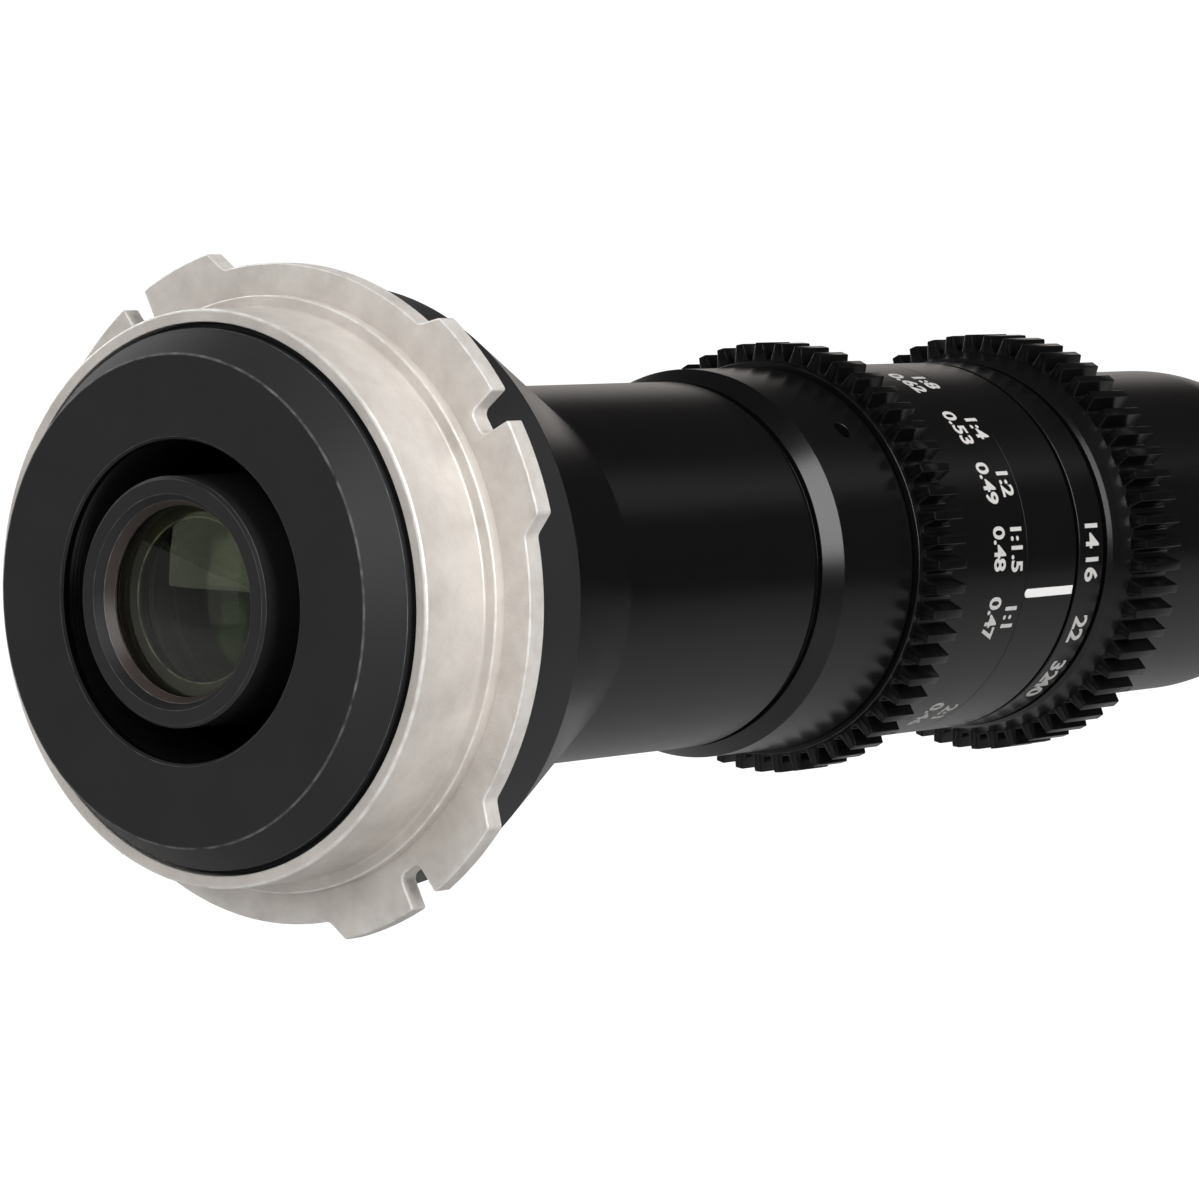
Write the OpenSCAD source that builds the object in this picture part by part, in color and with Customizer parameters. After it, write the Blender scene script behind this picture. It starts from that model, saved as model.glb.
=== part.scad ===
// Macro probe lens with a four-lug cine mount, geared focus and aperture rings and a lit probe tip.
// Lengths are in millimetres. The optical axis is +Y, the mount's seat face lies at Y = 0 and faces -Y,
// +Z is up and the index line faces +X. Pieces are drawn along +Z from the seat face and then laid down.

/* [Mount] */
// Outer diameter of the throat tube
throat_d = 54; // [53:0.25:55]
// Length of the throat behind the seat face
throat_len = 9.5; // [9:0.25:11]
// Wall of the throat tube
throat_wall = 1.25; // [1:0.05:1.5]
// Height of the shoulder round the throat
shoulder_step = 1.2; // [0.8:0.1:1.6]
// Length of the shoulder round the throat
shoulder_len = 1.3; // [0.8:0.1:2]
// Thickness of the flange
flange_t = 2.1; // [1.8:0.1:3]
// Diameter of the flange between its lugs
flange_d = 62.4; // [61:0.2:64]
// Diameter over the lugs
lug_d = 66.4; // [65.6:0.2:68]
// Angle that each lug spans
lug_angle = 43; // [36:1:50]
// Angle of the sloped corner at each end of a lug
lug_corner_angle = 3; // [1:0.5:5]
// Direction of the first lug, clockwise from the top as seen from the rear
lug_turn = 45; // [0:1:90]
// Width of the index notch in each lug
notch_w = 2.8; // [2:0.1:4]
// Depth of the index notch in each lug
notch_depth = 3.3; // [2:0.1:4]
// Thickness of the ledge that the mount screws clamp, behind the seat face
ledge_t = 2; // [1.5:0.1:3]
// Width of the ledge, inside the throat's bore
ledge_w = 5.25; // [4.5:0.25:6]
// Thickness of the shim ring
shim_t = 0.2; // [0.1:0.05:0.5]
// Thread diameter of the mount screws
mount_screw_d = 2.5; // [2:0.1:3]
// Length of the mount screws under the head
mount_screw_len = 7; // [6:0.5:9]

/* [Baffle and adapter] */
// Reach of the baffle's flat face behind the seat face
baffle_reach = 13.3; // [12.5:0.1:15]
// Width of the baffle's bevel, outside its flat face
baffle_bevel_w = 2.8; // [1.5:0.1:4]
// Share of the throat's bore that the baffle leaves open
baffle_opening_share = 0.583; // [0.53:0.001:0.66]
// Diameter of the adapter's rim
rim_d = 58.2; // [56:0.1:61]
// Length of the adapter's rim
rim_len = 7.6; // [6:0.1:9]
// Length of the adapter's cone
cone_len = 19.65; // [17:0.5:24]
// Height of the step between cone and barrel
cone_step = 0.35; // [0.2:0.05:0.6]

/* [Rear optics] */
// Outer diameter of the rear cell
cell_d = 23.3; // [22:0.1:25]
// Reach of the rear cell behind the seat face
cell_reach = 14.2; // [13:0.1:15]
// Diameter of the rear glasses
rear_glass_d = 19.4; // [18:0.1:20]
// Clear diameter of the rear glasses
rear_clear_d = 17.8; // [16:0.1:18]
// Edge thickness of the rearmost glass
rear_glass_t = 2.6; // [2:0.1:4]
// Edge thickness of the rear doublet
rear_doublet_t = 5; // [4:0.1:6]
// Length of the spacer between the rear glasses
rear_spacer_len = 4; // [3:0.1:6]

/* [Barrel] */
// Diameter of the rear barrel
barrel_d = 37.9; // [37.2:0.1:39]
// Length of the rear barrel that shows
barrel_len = 30.1; // [25:0.5:40]
// Diameter of the sleeve, the scales and the index ring
sleeve_d = 40.4; // [40:0.1:42]
// Length of the sleeve
sleeve_len = 15.1; // [12:0.5:20]
// Width of the groove at the sleeve's rear end
sleeve_groove_w = 1; // [0.5:0.1:2]
// Length of the bevel at the sleeve's rear end
sleeve_bevel_len = 2.15; // [1:0.05:3]
// Outer diameter of the inner barrel
inner_d = 34; // [33.4:0.1:34.4]
// Wall of the inner barrel
inner_wall = 1.6; // [1.3:0.05:1.8]
// Thread diameter of the set screws in the sleeve
grub_d = 2; // [1.6:0.1:2.5]

/* [Focus] */
// Length of the focus ring
focus_len = 20.55; // [20:0.25:24]
// Module of the gear teeth on both rings
gear_module = 0.8; // [0.8, 0.75]
// Number of teeth on the focus gear
focus_teeth = 55; // [54:1:57]
// Length of the focus gear's teeth
focus_gear_len = 5.1; // [4:0.1:7]
// Angle from the rest position to the closest focus
focus_close_deg = 49; // [20:1:60]
// Angle from the rest position to the farthest focus
focus_far_deg = 140; // [90:1:150]
// Travel of the carriage from the closest to the farthest focus
focus_travel = 8; // [6:0.25:9]
// Diameter of the cam pins
cam_pin_d = 2.2; // [1.8:0.1:2.4]
// Length of the carriage
carriage_len = 16; // [14:0.5:17]
// Diameter of the moving glasses
focus_glass_d = 21.9; // [20:0.1:23]

/* [Index and aperture] */
// Length of the index ring
index_len = 9.35; // [8:0.25:12]
// Width of the index line
index_mark_w = 1.1; // [0.6:0.1:1.6]
// Length of the aperture ring
aperture_len = 16.55; // [16:0.25:19]
// Length of the aperture scale band
aperture_band_len = 4.7; // [4:0.1:5]
// Number of teeth on the aperture gear
aperture_teeth = 56; // [55:1:58]
// Length of the aperture gear's teeth
aperture_gear_len = 7.1; // [5:0.1:7.2]
// Angle from the rest position to the widest aperture
aperture_open_deg = 18; // [10:1:30]
// Angle from the rest position to the smallest aperture
aperture_close_deg = 41; // [30:1:45]
// Diameter of the widest aperture
iris_d = 12.4; // [11:0.1:13]
// Swing of each blade from the widest to the smallest aperture
blade_swing_deg = 16.2; // [14:0.2:17]
// Thickness of an iris blade
blade_t = 0.2; // [0.15:0.05:0.25]
// Thickness of the iris's drive ring under its slots
drive_t = 1; // [0.8:0.1:1.4]

/* [Nose and probe] */
// Diameter of the nose
nose_d = 37.2; // [36.8:0.1:38]
// Length of the nose
nose_len = 49.85; // [48:0.5:60]
// Radius of the nose's round shoulder
nose_round_r = 30; // [28:0.5:34]
// Diameter of the collar at the nose's front end
nose_collar_d = 22.4; // [22:0.1:25]
// Diameter of the probe tube
probe_d = 20; // [19.5:0.1:20.5]
// Wall of the probe tube
probe_wall = 1.3; // [1.2:0.05:1.4]
// Length from the nose's front end to the tip's face
probe_len = 227.5; // [150:0.5:260]
// Outer diameter of the relay tube
relay_d = 15.2; // [14.8:0.1:15.4]
// Wall of the relay tube
relay_wall = 1; // [0.8:0.05:1.2]
// Edge thickness of a relay glass
relay_glass_t = 4; // [3:0.1:6]
// Diameter of the power socket's hole
jack_hole_d = 5.6; // [5.5:0.1:6]

/* [Tip] */
// Length of the tip's bezel in front of the tube
bezel_len = 6; // [5:0.25:8]
// Outer diameter of the front cell
front_cell_d = 9.2; // [8.6:0.1:9.8]
// Diameter of the front glasses
front_glass_d = 7.3; // [6.8:0.1:7.6]
// Number of lamps in the ring light
led_count = 8; // [4:1:10]

/* [Clearances] */
// Radial clearance of a fitted joint
fit = 0.05; // [0.03:0.01:0.06]
// Axial gap beside each turning ring
ring_gap = 0.25; // [0.2:0.05:0.4]
// Clearance of a pin in its slot
slot_clear = 0.12; // [0.1:0.01:0.15]

/* [Hidden] */
$fn = 120;

// Overrun of every cut past the face that it opens
cut = 1;
// Small chamfer on outer edges
edge = 0.25;
full_turn = 360;
half_turn = 180;

// Places along the axis, in order from the mount to the tip
adapter_z = flange_t + shim_t;
rim_z = adapter_z + rim_len;
cone_z = rim_z + cone_len;
cone_land = 0.45;
barrel_z = cone_z + cone_land;
sleeve_z = barrel_z + barrel_len;
focus_z = sleeve_z + sleeve_len + ring_gap;
index_z = focus_z + focus_len + ring_gap;
aperture_z = index_z + index_len + ring_gap;
nose_z = aperture_z + aperture_len + ring_gap;
nose_end_z = nose_z + nose_len;
tip_z = nose_end_z + probe_len;
tube_end_z = tip_z - bezel_len;

// Mount
throat_r = throat_d / 2;
throat_bore_r = throat_r - throat_wall;
shoulder_r = throat_r + shoulder_step;
lug_r = lug_d / 2;
ledge_r = throat_bore_r - ledge_w;
screw_circle_r = (ledge_r + throat_bore_r) / 2;
screw_count = 6;
screw_head_r = 2;
screw_head_t = 1.2;
screw_socket_r = 0.85;
screw_socket_depth = 0.8;
hex_sides = 6;
lug_count = 4;
lug_pitch = full_turn / lug_count;
// Corners of a lug's wedge lie this share of the lug radius out, so that only its arc cuts the lug
lug_wedge_share = 1.2;

// Adapter
rim_r = rim_d / 2;
barrel_r = barrel_d / 2;
cone_end_r = barrel_r + cone_step;
spigot_len = 9.7;
spigot_step = 1.55;
spigot_r = barrel_r - spigot_step;
adapter_taper_z = barrel_z - spigot_len - ring_gap;

// Baffle
baffle_r = throat_bore_r - fit;
baffle_front_z = -ledge_t - screw_head_t - ring_gap;

// Rear cell
cell_r = cell_d / 2;
rear_glass_r = rear_glass_d / 2;
rear_clear_r = rear_clear_d / 2;
cell_bore_r = rear_glass_r + fit;
cell_lip = 0.8;
retainer_t = 1.2;
rear_bulge = 1;
rear_ring_z = cell_lip - cell_reach;
rear_glass_z = rear_ring_z + retainer_t;
rear_spacer_z = rear_glass_z + rear_glass_t;
rear_doublet_z = rear_spacer_z + rear_spacer_len;
cell_shoulder_z = rear_doublet_z + rear_doublet_t;
cell_flange_t = 4;

// Inner barrel
inner_r = inner_d / 2;
inner_bore_r = inner_r - inner_wall;
inner_in = 8;
inner_z = barrel_z + inner_in;
inner_out = 9.35;
inner_end_z = nose_z + inner_out;
thin_wall = 0.8;
iris_bore_r = inner_r - thin_wall;
cell_flange_z = inner_z + cell_flange_t / 2;

// Sleeve
sleeve_r = sleeve_d / 2;
sleeve_groove_depth = 0.55;
sleeve_neck_r = barrel_r - sleeve_groove_depth;
grub_r = grub_d / 2;
grub_count = 3;
grub_turn = 34.6;
grub_share = 0.69;
grub_z = sleeve_z + grub_share * sleeve_len;
grub_sink = 0.4;

// Focus ring and its cam
focus_lip_len = 0.75;
focus_lip_h = 0.6;
focus_lip_r = sleeve_r + focus_lip_h;
focus_web_t = 0.55;
cam_wall = 1.7;
cam_in_r = inner_r + fit;
cam_r = cam_in_r + cam_wall;
cam_z = focus_z + focus_web_t;
cam_end_gap = 0.6;
// The helical slots are cut with a four-sided bar in this many slices
cam_slices = 54;
bar_sides = 4;
cam_len = focus_len - focus_web_t - cam_end_gap;
pin_r = cam_pin_d / 2;
pin_count = 3;
focus_turn_deg = focus_close_deg + focus_far_deg;
travel_per_deg = focus_travel / focus_turn_deg;
groove_land = 3;
pin_z = cam_z + groove_land + pin_r + slot_clear + travel_per_deg * focus_close_deg;
pin_low_z = pin_z - travel_per_deg * focus_close_deg;
pin_high_z = pin_z + travel_per_deg * focus_far_deg;

// Focus carriage
carriage_r = inner_bore_r - fit;
focus_glass_r = focus_glass_d / 2;
carriage_bore_r = focus_glass_r + fit;
carriage_lip_w = 1.2;
focus_clear_r = focus_glass_r - carriage_lip_w;
focus_bulge = 0.9;
carriage_lip_t = 1.5;
carriage_z = pin_z - carriage_len / 2;
focus_doublet_t = 4.5;
focus_element_t = 3;
pin_root = 2;
pin_in_r = carriage_bore_r + pin_root;
pin_out_r = cam_r - slot_clear;

// Index line
mark_depth = 0.15;
mark_turn = 90;

// Aperture ring and iris
aperture_root_r = gear_root_r(aperture_teeth);
aperture_bore_r = inner_r + fit;
neck_len = 0.35;
aperture_groove_len = 0.6;
aperture_ridge = 0.3;
iris_in = 5.45;
iris_z = aperture_z + iris_in;
iris_base_t = 1.2;
iris_n = 7;
iris_pitch = full_turn / iris_n;
blade_gap = 0.15;
blade_pitch = blade_t + blade_gap;
blade_z = iris_z + iris_base_t + blade_gap;
drive_z = blade_z + iris_n * blade_pitch + blade_gap;
drive_r = iris_bore_r - 2 * fit;
drive_rim_w = 1.15;
drive_rim_len = 2.6;
key_r = 0.7;
key_turn = 200;
key_z = drive_z + drive_t + drive_rim_len / 2;
key_sink = 2.5;
cover_z = drive_z + drive_t + drive_rim_len + blade_gap;
cover_t = 1.2;
iris_r = iris_d / 2;
blade_in_r = iris_r + blade_gap;
blade_w = 5.1;
blade_out_r = blade_in_r + blade_w;
blade_boss_r = 1.1;
blade_arm_share = 1.6;
blade_sector_steps = 3;
pivot_stud_r = 0.5;
drive_stud_r = 0.45;
pivot_r = iris_bore_r - blade_boss_r - 2 * fit;
link_len = 9;
stud_open_drop = 0.3;
stud_open_r = pivot_r - stud_open_drop;
swing_per_deg = blade_swing_deg / (aperture_open_deg + aperture_close_deg);
psi_open = acos((stud_open_r * stud_open_r - pivot_r * pivot_r - link_len * link_len)
    / (2 * pivot_r * link_len));
blade_rest_deg = swing_per_deg * aperture_open_deg;
blade_from_deg = 20;
blade_to_deg = 128;
slot_half_w = drive_stud_r + slot_clear;
slot_steps = 20;

// Nose
nose_r = nose_d / 2;
nose_collar_r = nose_collar_d / 2;
nose_straight_len = 25.35;
nose_round_z = nose_z + nose_straight_len;
nose_drop = nose_r - nose_collar_r;
nose_round_len = sqrt(nose_round_r * nose_round_r - pow(nose_round_r - nose_drop, 2));
nose_arc_steps = 16;
nose_cavity_len = 27.35;
nose_wall_z = nose_z + nose_cavity_len;
tube_lip_len = 2;
tube_seat_z = nose_wall_z + tube_lip_len;
probe_r = probe_d / 2;
probe_bore_r = probe_r - probe_wall;
// The tube's tail in the nose and the tip bezel are slimmer than the tube, so that a clamp slides on
tail_drop = 0.3;
tail_r = probe_r - tail_drop;
bezel_drop = 0.1;
bezel_r = probe_r - bezel_drop;
tube_step_z = nose_end_z + fit;
seal_r = 0.65;
seal_in = 8;
seal_z = tube_seat_z + seal_in;
seal_groove_w = 1.8;
seal_sides = 32;

// Relay
relay_r = relay_d / 2;
relay_bore_r = relay_r - relay_wall;
relay_lip_w = 0.7;
relay_z = cover_z + cover_t + blade_gap;
relay_flange_t = 3;
relay_head_r = 10.5;
relay_head_len = 9.6;
relay_neck_len = 2;
collimator_r = 9;
collimator_clear_r = 8;
collimator_t = 4;
collimator_bulge = 0.7;
relay_bulge = 0.3;
collimator_gap = 0.1;
relay_stack_z = relay_z + relay_head_len + relay_neck_len;
relay_n = 6;

// Power socket
jack_in = 8;
jack_z = inner_end_z + jack_in;
jack_hole_r = jack_hole_d / 2;
jack_wall = 1.2;
jack_r = jack_hole_r + jack_wall;
jack_flange_w = 1.2;
jack_flange_t = 0.8;
jack_flat = 1;
jack_floor = 0.8;
jack_pin_r = 1;
jack_room = 1.4;
jack_in_r = relay_r + jack_room;
jack_turn = 270;
flex_t = 0.3;
flex_span_deg = 40;
flex_side_deg = 2;
flex_out_r = probe_bore_r - fit;

// Tip
front_cell_r = front_cell_d / 2;
front_glass_r = front_glass_d / 2;
front_lip_w = 0.6;
front_clear_r = front_glass_r - front_lip_w;
front_bore_r = front_glass_r + fit;
bezel_spigot_len = 6;
bezel_wall = 0.65;
bezel_lip_w = 0.6;
bezel_lip_t = 1.2;
bezel_spigot_r = probe_bore_r - fit;
bezel_bore_r = bezel_spigot_r - bezel_wall;
gasket_t = 0.4;
gasket_wall = 1;
board_t = 1;
board_lip = 3;
board_z = tube_end_z - bezel_spigot_len + board_lip;
board_r = bezel_bore_r - fit;
board_in_r = front_cell_r + 2 * fit;
led_side = 1.6;
led_h = 1;
window_t = 1.2;
window_z = tip_z - bezel_lip_t - window_t;
front_cell_len = 17;
front_cell_z = tip_z - front_cell_len;
front_flange_t = 3;
front_recess = 0.6;
front_ring_t = 0.7;
front_glass_t = 2;
front_bulge = 0.5;
front_ring_z = tip_z - front_recess - front_ring_t;
front_glass_z = front_ring_z - front_glass_t;
front_step_len = 4;
front_step_z = front_glass_z - front_step_len;
objective_t = 3;
relay_over = 1;
relay_end_z = front_cell_z + front_flange_t + relay_over;
relay_spacer_len = (front_cell_z - relay_stack_z - relay_n * relay_glass_t) / relay_n;

// Root radius of a gear ring with n teeth
function gear_root_r(n) = n * gear_module / 2 - 1.25 * gear_module;

// Outline of a gear with n teeth. Each share is a height over the pitch circle in modules and a half angle
tooth_shares = [[-1.25, 0.36], [0, 0.25], [1, 0.15]];
function gear_points(n) = [for (i = [0:n - 1], s = [-1, 1], k = [0:len(tooth_shares) - 1])
    let (t = tooth_shares[s < 0 ? k : len(tooth_shares) - 1 - k],
        r = gear_module * (n / 2 + t[0]),
        a = (i + s * t[1]) * full_turn / n)
    [r * cos(a), r * sin(a)]];

// Place of a blade's drive stud when the blade has swung by b from the widest aperture
function stud_at(b) = [pivot_r + link_len * cos(psi_open + b), link_len * sin(psi_open + b)];

// Middle line of a slot in the drive ring, as radius and angle, from the widest to the smallest aperture
function slot_path() = [for (i = [0:slot_steps])
    let (turn = aperture_open_deg - i * (aperture_open_deg + aperture_close_deg) / slot_steps,
        q = stud_at(swing_per_deg * (aperture_open_deg - turn)))
    [norm(q), atan2(q.y, q.x) - turn]];
function at(r, a) = [r * cos(a), r * sin(a)];

// Lays a piece that was drawn along +Z down along +Y, with its zero angle at the top
module lay() {
    rotate([-90, -90, 0]) children();
}

module tube(r_out, r_in, z, len) {
    translate([0, 0, z]) difference() {
        cylinder(r = r_out, h = len);
        translate([0, 0, -cut]) cylinder(r = r_in, h = len + 2 * cut);
    }
}

module turned(points) {
    rotate_extrude() polygon(points);
}

// A round glass with a flat rim and a bulge on each face, hollow where the bulge is negative
module glass(r, clear_r, edge_t, rear_bulge, front_bulge, z) {
    translate([0, 0, z]) difference() {
        union() {
            cylinder(r = r, h = edge_t);
            if (rear_bulge > 0) mirror([0, 0, 1]) dome(clear_r, rear_bulge);
            if (front_bulge > 0) translate([0, 0, edge_t]) dome(clear_r, front_bulge);
        }
        if (rear_bulge < 0) dome(clear_r, -rear_bulge);
        if (front_bulge < 0) translate([0, 0, edge_t]) mirror([0, 0, 1]) dome(clear_r, -front_bulge);
    }
}

// A spherical cap of the given height on the plane z = 0
module dome(r, h) {
    ball_r = (r * r + h * h) / (2 * h);
    intersection() {
        translate([0, 0, h - ball_r]) sphere(r = ball_r);
        translate([0, 0, -h]) cylinder(r = r, h = 3 * h);
        translate([-r - h, -r - h, 0]) cube([2 * (r + h), 2 * (r + h), h + cut]);
    }
}

module around(count, turn = 0) {
    for (i = [0:count - 1]) rotate([0, 0, turn + i * full_turn / count]) children();
}

// A cylinder along a radius, from r0 to r1, at the height z
module spoke(rad, r0, r1, z) {
    translate([r0, 0, z]) rotate([0, 90, 0]) cylinder(r = rad, h = r1 - r0);
}

// Outline of the flange with its lugs and notches
module flange_outline() {
    wedge_r = lug_wedge_share * lug_r;
    half = lug_angle / 2;
    difference() {
        union() {
            circle(r = flange_d / 2);
            intersection() {
                circle(r = lug_r);
                for (i = [0:lug_count - 1]) rotate([0, 0, lug_turn + i * lug_pitch])
                    polygon([[0, 0], at(flange_d / 2, -half), at(lug_r, -half + lug_corner_angle),
                        at(wedge_r, -half + lug_corner_angle), at(wedge_r, half - lug_corner_angle),
                        at(lug_r, half - lug_corner_angle), at(flange_d / 2, half)]);
            }
        }
        for (i = [0:lug_count - 1]) rotate([0, 0, lug_turn + i * lug_pitch])
            translate([lug_r - notch_depth, -notch_w / 2]) square([notch_depth + cut, notch_w]);
    }
}

module mount_flange() {
    color([0.78, 0.75, 0.71]) lay() difference() {
        union() {
            linear_extrude(flange_t) flange_outline();
            turned([[0, -throat_len], [throat_r - edge, -throat_len], [throat_r, -throat_len + edge],
                [throat_r, -shoulder_len], [shoulder_r - edge, -shoulder_len],
                [shoulder_r, -shoulder_len + edge], [shoulder_r, flange_t / 2], [0, flange_t / 2]]);
        }
        translate([0, 0, -throat_len - cut]) cylinder(r = throat_bore_r, h = throat_len + cut - ledge_t);
        translate([0, 0, -throat_len]) cylinder(r = ledge_r, h = throat_len + flange_t + cut);
        around(screw_count) translate([screw_circle_r, 0, -ledge_t - cut])
            cylinder(r = mount_screw_d / 2 + fit, h = ledge_t + flange_t + 2 * cut);
    }
}

module mount_shim() {
    color([0.72, 0.6, 0.35]) lay() difference() {
        tube(shoulder_r, ledge_r, flange_t, shim_t);
        around(screw_count) translate([screw_circle_r, 0, flange_t - cut])
            cylinder(r = mount_screw_d / 2 + fit, h = shim_t + 2 * cut);
    }
}

module mount_screws() {
    color([0.35, 0.35, 0.36]) lay() around(screw_count) translate([screw_circle_r, 0, 0]) difference() {
        union() {
            translate([0, 0, -ledge_t - screw_head_t]) cylinder(r = screw_head_r, h = screw_head_t);
            translate([0, 0, -ledge_t]) cylinder(r = mount_screw_d / 2, h = mount_screw_len);
        }
        translate([0, 0, -ledge_t - screw_head_t - cut])
            cylinder(r = screw_socket_r, h = screw_socket_depth + cut, $fn = hex_sides);
    }
}

module rear_baffle() {
    opening_r = baffle_opening_share * throat_bore_r;
    face_r = baffle_r - baffle_bevel_w;
    color([0.1, 0.1, 0.11]) lay() turned([
        [opening_r + edge, -baffle_reach], [face_r, -baffle_reach],
        [baffle_r, -throat_len - edge], [baffle_r, baffle_front_z],
        [opening_r, baffle_front_z], [opening_r, edge - baffle_reach]]);
}

module mount_adapter() {
    bore_r = spigot_r + fit;
    color([0.09, 0.09, 0.1]) lay() difference() {
        turned([[ledge_r, adapter_z], [rim_r - edge, adapter_z], [rim_r, adapter_z + edge],
            [rim_r, rim_z - edge], [rim_r - edge, rim_z], [cone_end_r, cone_z], [cone_end_r, barrel_z],
            [bore_r, barrel_z], [bore_r, adapter_taper_z], [ledge_r, rim_z]]);
        around(screw_count) translate([screw_circle_r, 0, adapter_z - cut])
            cylinder(r = mount_screw_d / 2 + fit, h = mount_screw_len - ledge_t - adapter_z + 2 * cut);
    }
}

module rear_cell() {
    front_z = cell_flange_z + cell_flange_t;
    color([0.13, 0.13, 0.14]) lay() turned([
        [cell_bore_r, edge - cell_reach], [cell_bore_r + edge, -cell_reach],
        [cell_r - edge, -cell_reach], [cell_r, edge - cell_reach],
        [cell_r, cell_flange_z], [inner_bore_r - fit, cell_flange_z], [inner_bore_r - fit, front_z],
        [rear_clear_r, front_z], [rear_clear_r, cell_shoulder_z], [cell_bore_r, cell_shoulder_z]]);
}

module rear_retaining_ring() {
    color([0.12, 0.12, 0.13]) lay() turned([
        [rear_clear_r, rear_glass_z], [rear_clear_r, rear_glass_z - edge],
        [rear_clear_r + 2 * edge, rear_ring_z], [rear_glass_r, rear_ring_z], [rear_glass_r, rear_glass_z]]);
}

module rear_element() {
    color([0.5, 0.6, 0.55]) lay()
        glass(rear_glass_r, rear_clear_r, rear_glass_t, rear_bulge, -rear_bulge, rear_glass_z);
}

module rear_spacer() {
    color([0.08, 0.08, 0.08]) lay() tube(rear_glass_r, rear_clear_r, rear_spacer_z, rear_spacer_len);
}

module rear_doublet() {
    color([0.5, 0.6, 0.55]) lay()
        glass(rear_glass_r, rear_clear_r, rear_doublet_t, rear_bulge, rear_bulge, rear_doublet_z);
}

module rear_barrel() {
    groove_r = barrel_r - edge;
    slip_r = inner_r + fit;
    seat_r = inner_r - thin_wall;
    color([0.09, 0.09, 0.1]) lay() turned([
        [seat_r, barrel_z - spigot_len], [spigot_r, barrel_z - spigot_len], [spigot_r, barrel_z],
        [barrel_r, barrel_z], [barrel_r, sleeve_z - edge], [groove_r, sleeve_z],
        [slip_r, sleeve_z], [slip_r, inner_z], [seat_r, inner_z]]);
}

module barrel_sleeve() {
    end_z = sleeve_z + sleeve_len;
    bevel_z = sleeve_z + sleeve_groove_w;
    color([0.09, 0.09, 0.1]) lay() difference() {
        turned([[inner_r + fit, sleeve_z], [sleeve_neck_r, sleeve_z], [sleeve_neck_r, bevel_z],
            [barrel_r, bevel_z], [sleeve_r, bevel_z + sleeve_bevel_len], [sleeve_r, end_z - edge],
            [sleeve_r - edge, end_z], [inner_r + fit, end_z]]);
        around(grub_count, grub_turn) spoke(grub_r, inner_r, sleeve_r + cut, grub_z);
    }
}

module grub_screws() {
    color([0.2, 0.2, 0.21]) lay() around(grub_count, grub_turn) difference() {
        spoke(grub_r - fit, inner_r + fit, sleeve_r - grub_sink, grub_z);
        translate([sleeve_r - grub_sink - grub_r, 0, grub_z]) rotate([0, 90, 0])
            cylinder(r = grub_r / 2, h = grub_r + cut, $fn = hex_sides);
    }
}

module inner_barrel() {
    color([0.3, 0.3, 0.32]) lay() difference() {
        turned([[inner_bore_r, inner_z], [inner_r, inner_z], [inner_r, inner_end_z],
            [iris_bore_r, inner_end_z], [iris_bore_r, iris_z], [inner_bore_r, iris_z]]);
        around(pin_count) straight_slot();
        rotate([0, 0, key_turn]) key_slot();
    }
}

// Slot along the axis that guides a cam pin
module straight_slot() {
    rad = pin_r + slot_clear;
    low_z = pin_low_z - slot_clear;
    high_z = pin_high_z + slot_clear;
    spoke(rad, inner_bore_r - cut, inner_r + cut, low_z);
    spoke(rad, inner_bore_r - cut, inner_r + cut, high_z);
    translate([inner_bore_r - cut, -rad, low_z]) cube([inner_wall + 2 * cut, 2 * rad, high_z - low_z]);
}

// Slot round the axis that the aperture key runs in
module key_slot() {
    half_h = key_r + slot_clear;
    side_deg = asin((key_r + slot_clear) / iris_bore_r);
    from_deg = -aperture_close_deg - side_deg;
    span = aperture_open_deg + aperture_close_deg + 2 * side_deg;
    rotate([0, 0, from_deg]) rotate_extrude(angle = span)
        translate([iris_bore_r - cut, key_z - half_h]) square([thin_wall + 2 * cut, 2 * half_h]);
}

module focus_ring() {
    gear_z = focus_z + focus_lip_len;
    band_z = gear_z + focus_gear_len;
    end_z = focus_z + focus_len;
    color([0.09, 0.09, 0.1]) lay() difference() {
        union() {
            turned([[0, focus_z], [focus_lip_r - edge, focus_z], [focus_lip_r, focus_z + edge],
                [focus_lip_r, band_z], [sleeve_r, band_z], [sleeve_r, end_z - edge],
                [sleeve_r - edge, end_z], [0, end_z]]);
            translate([0, 0, gear_z]) linear_extrude(focus_gear_len) polygon(gear_points(focus_teeth));
        }
        translate([0, 0, focus_z - cut]) cylinder(r = cam_in_r, h = focus_len + 2 * cut);
        translate([0, 0, cam_z]) cylinder(r = cam_r + fit, h = focus_len + cut);
    }
}

module focus_cam() {
    color([0.72, 0.6, 0.35]) lay() difference() {
        tube(cam_r, cam_in_r, cam_z, cam_len);
        around(pin_count) helical_slot();
    }
}

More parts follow.
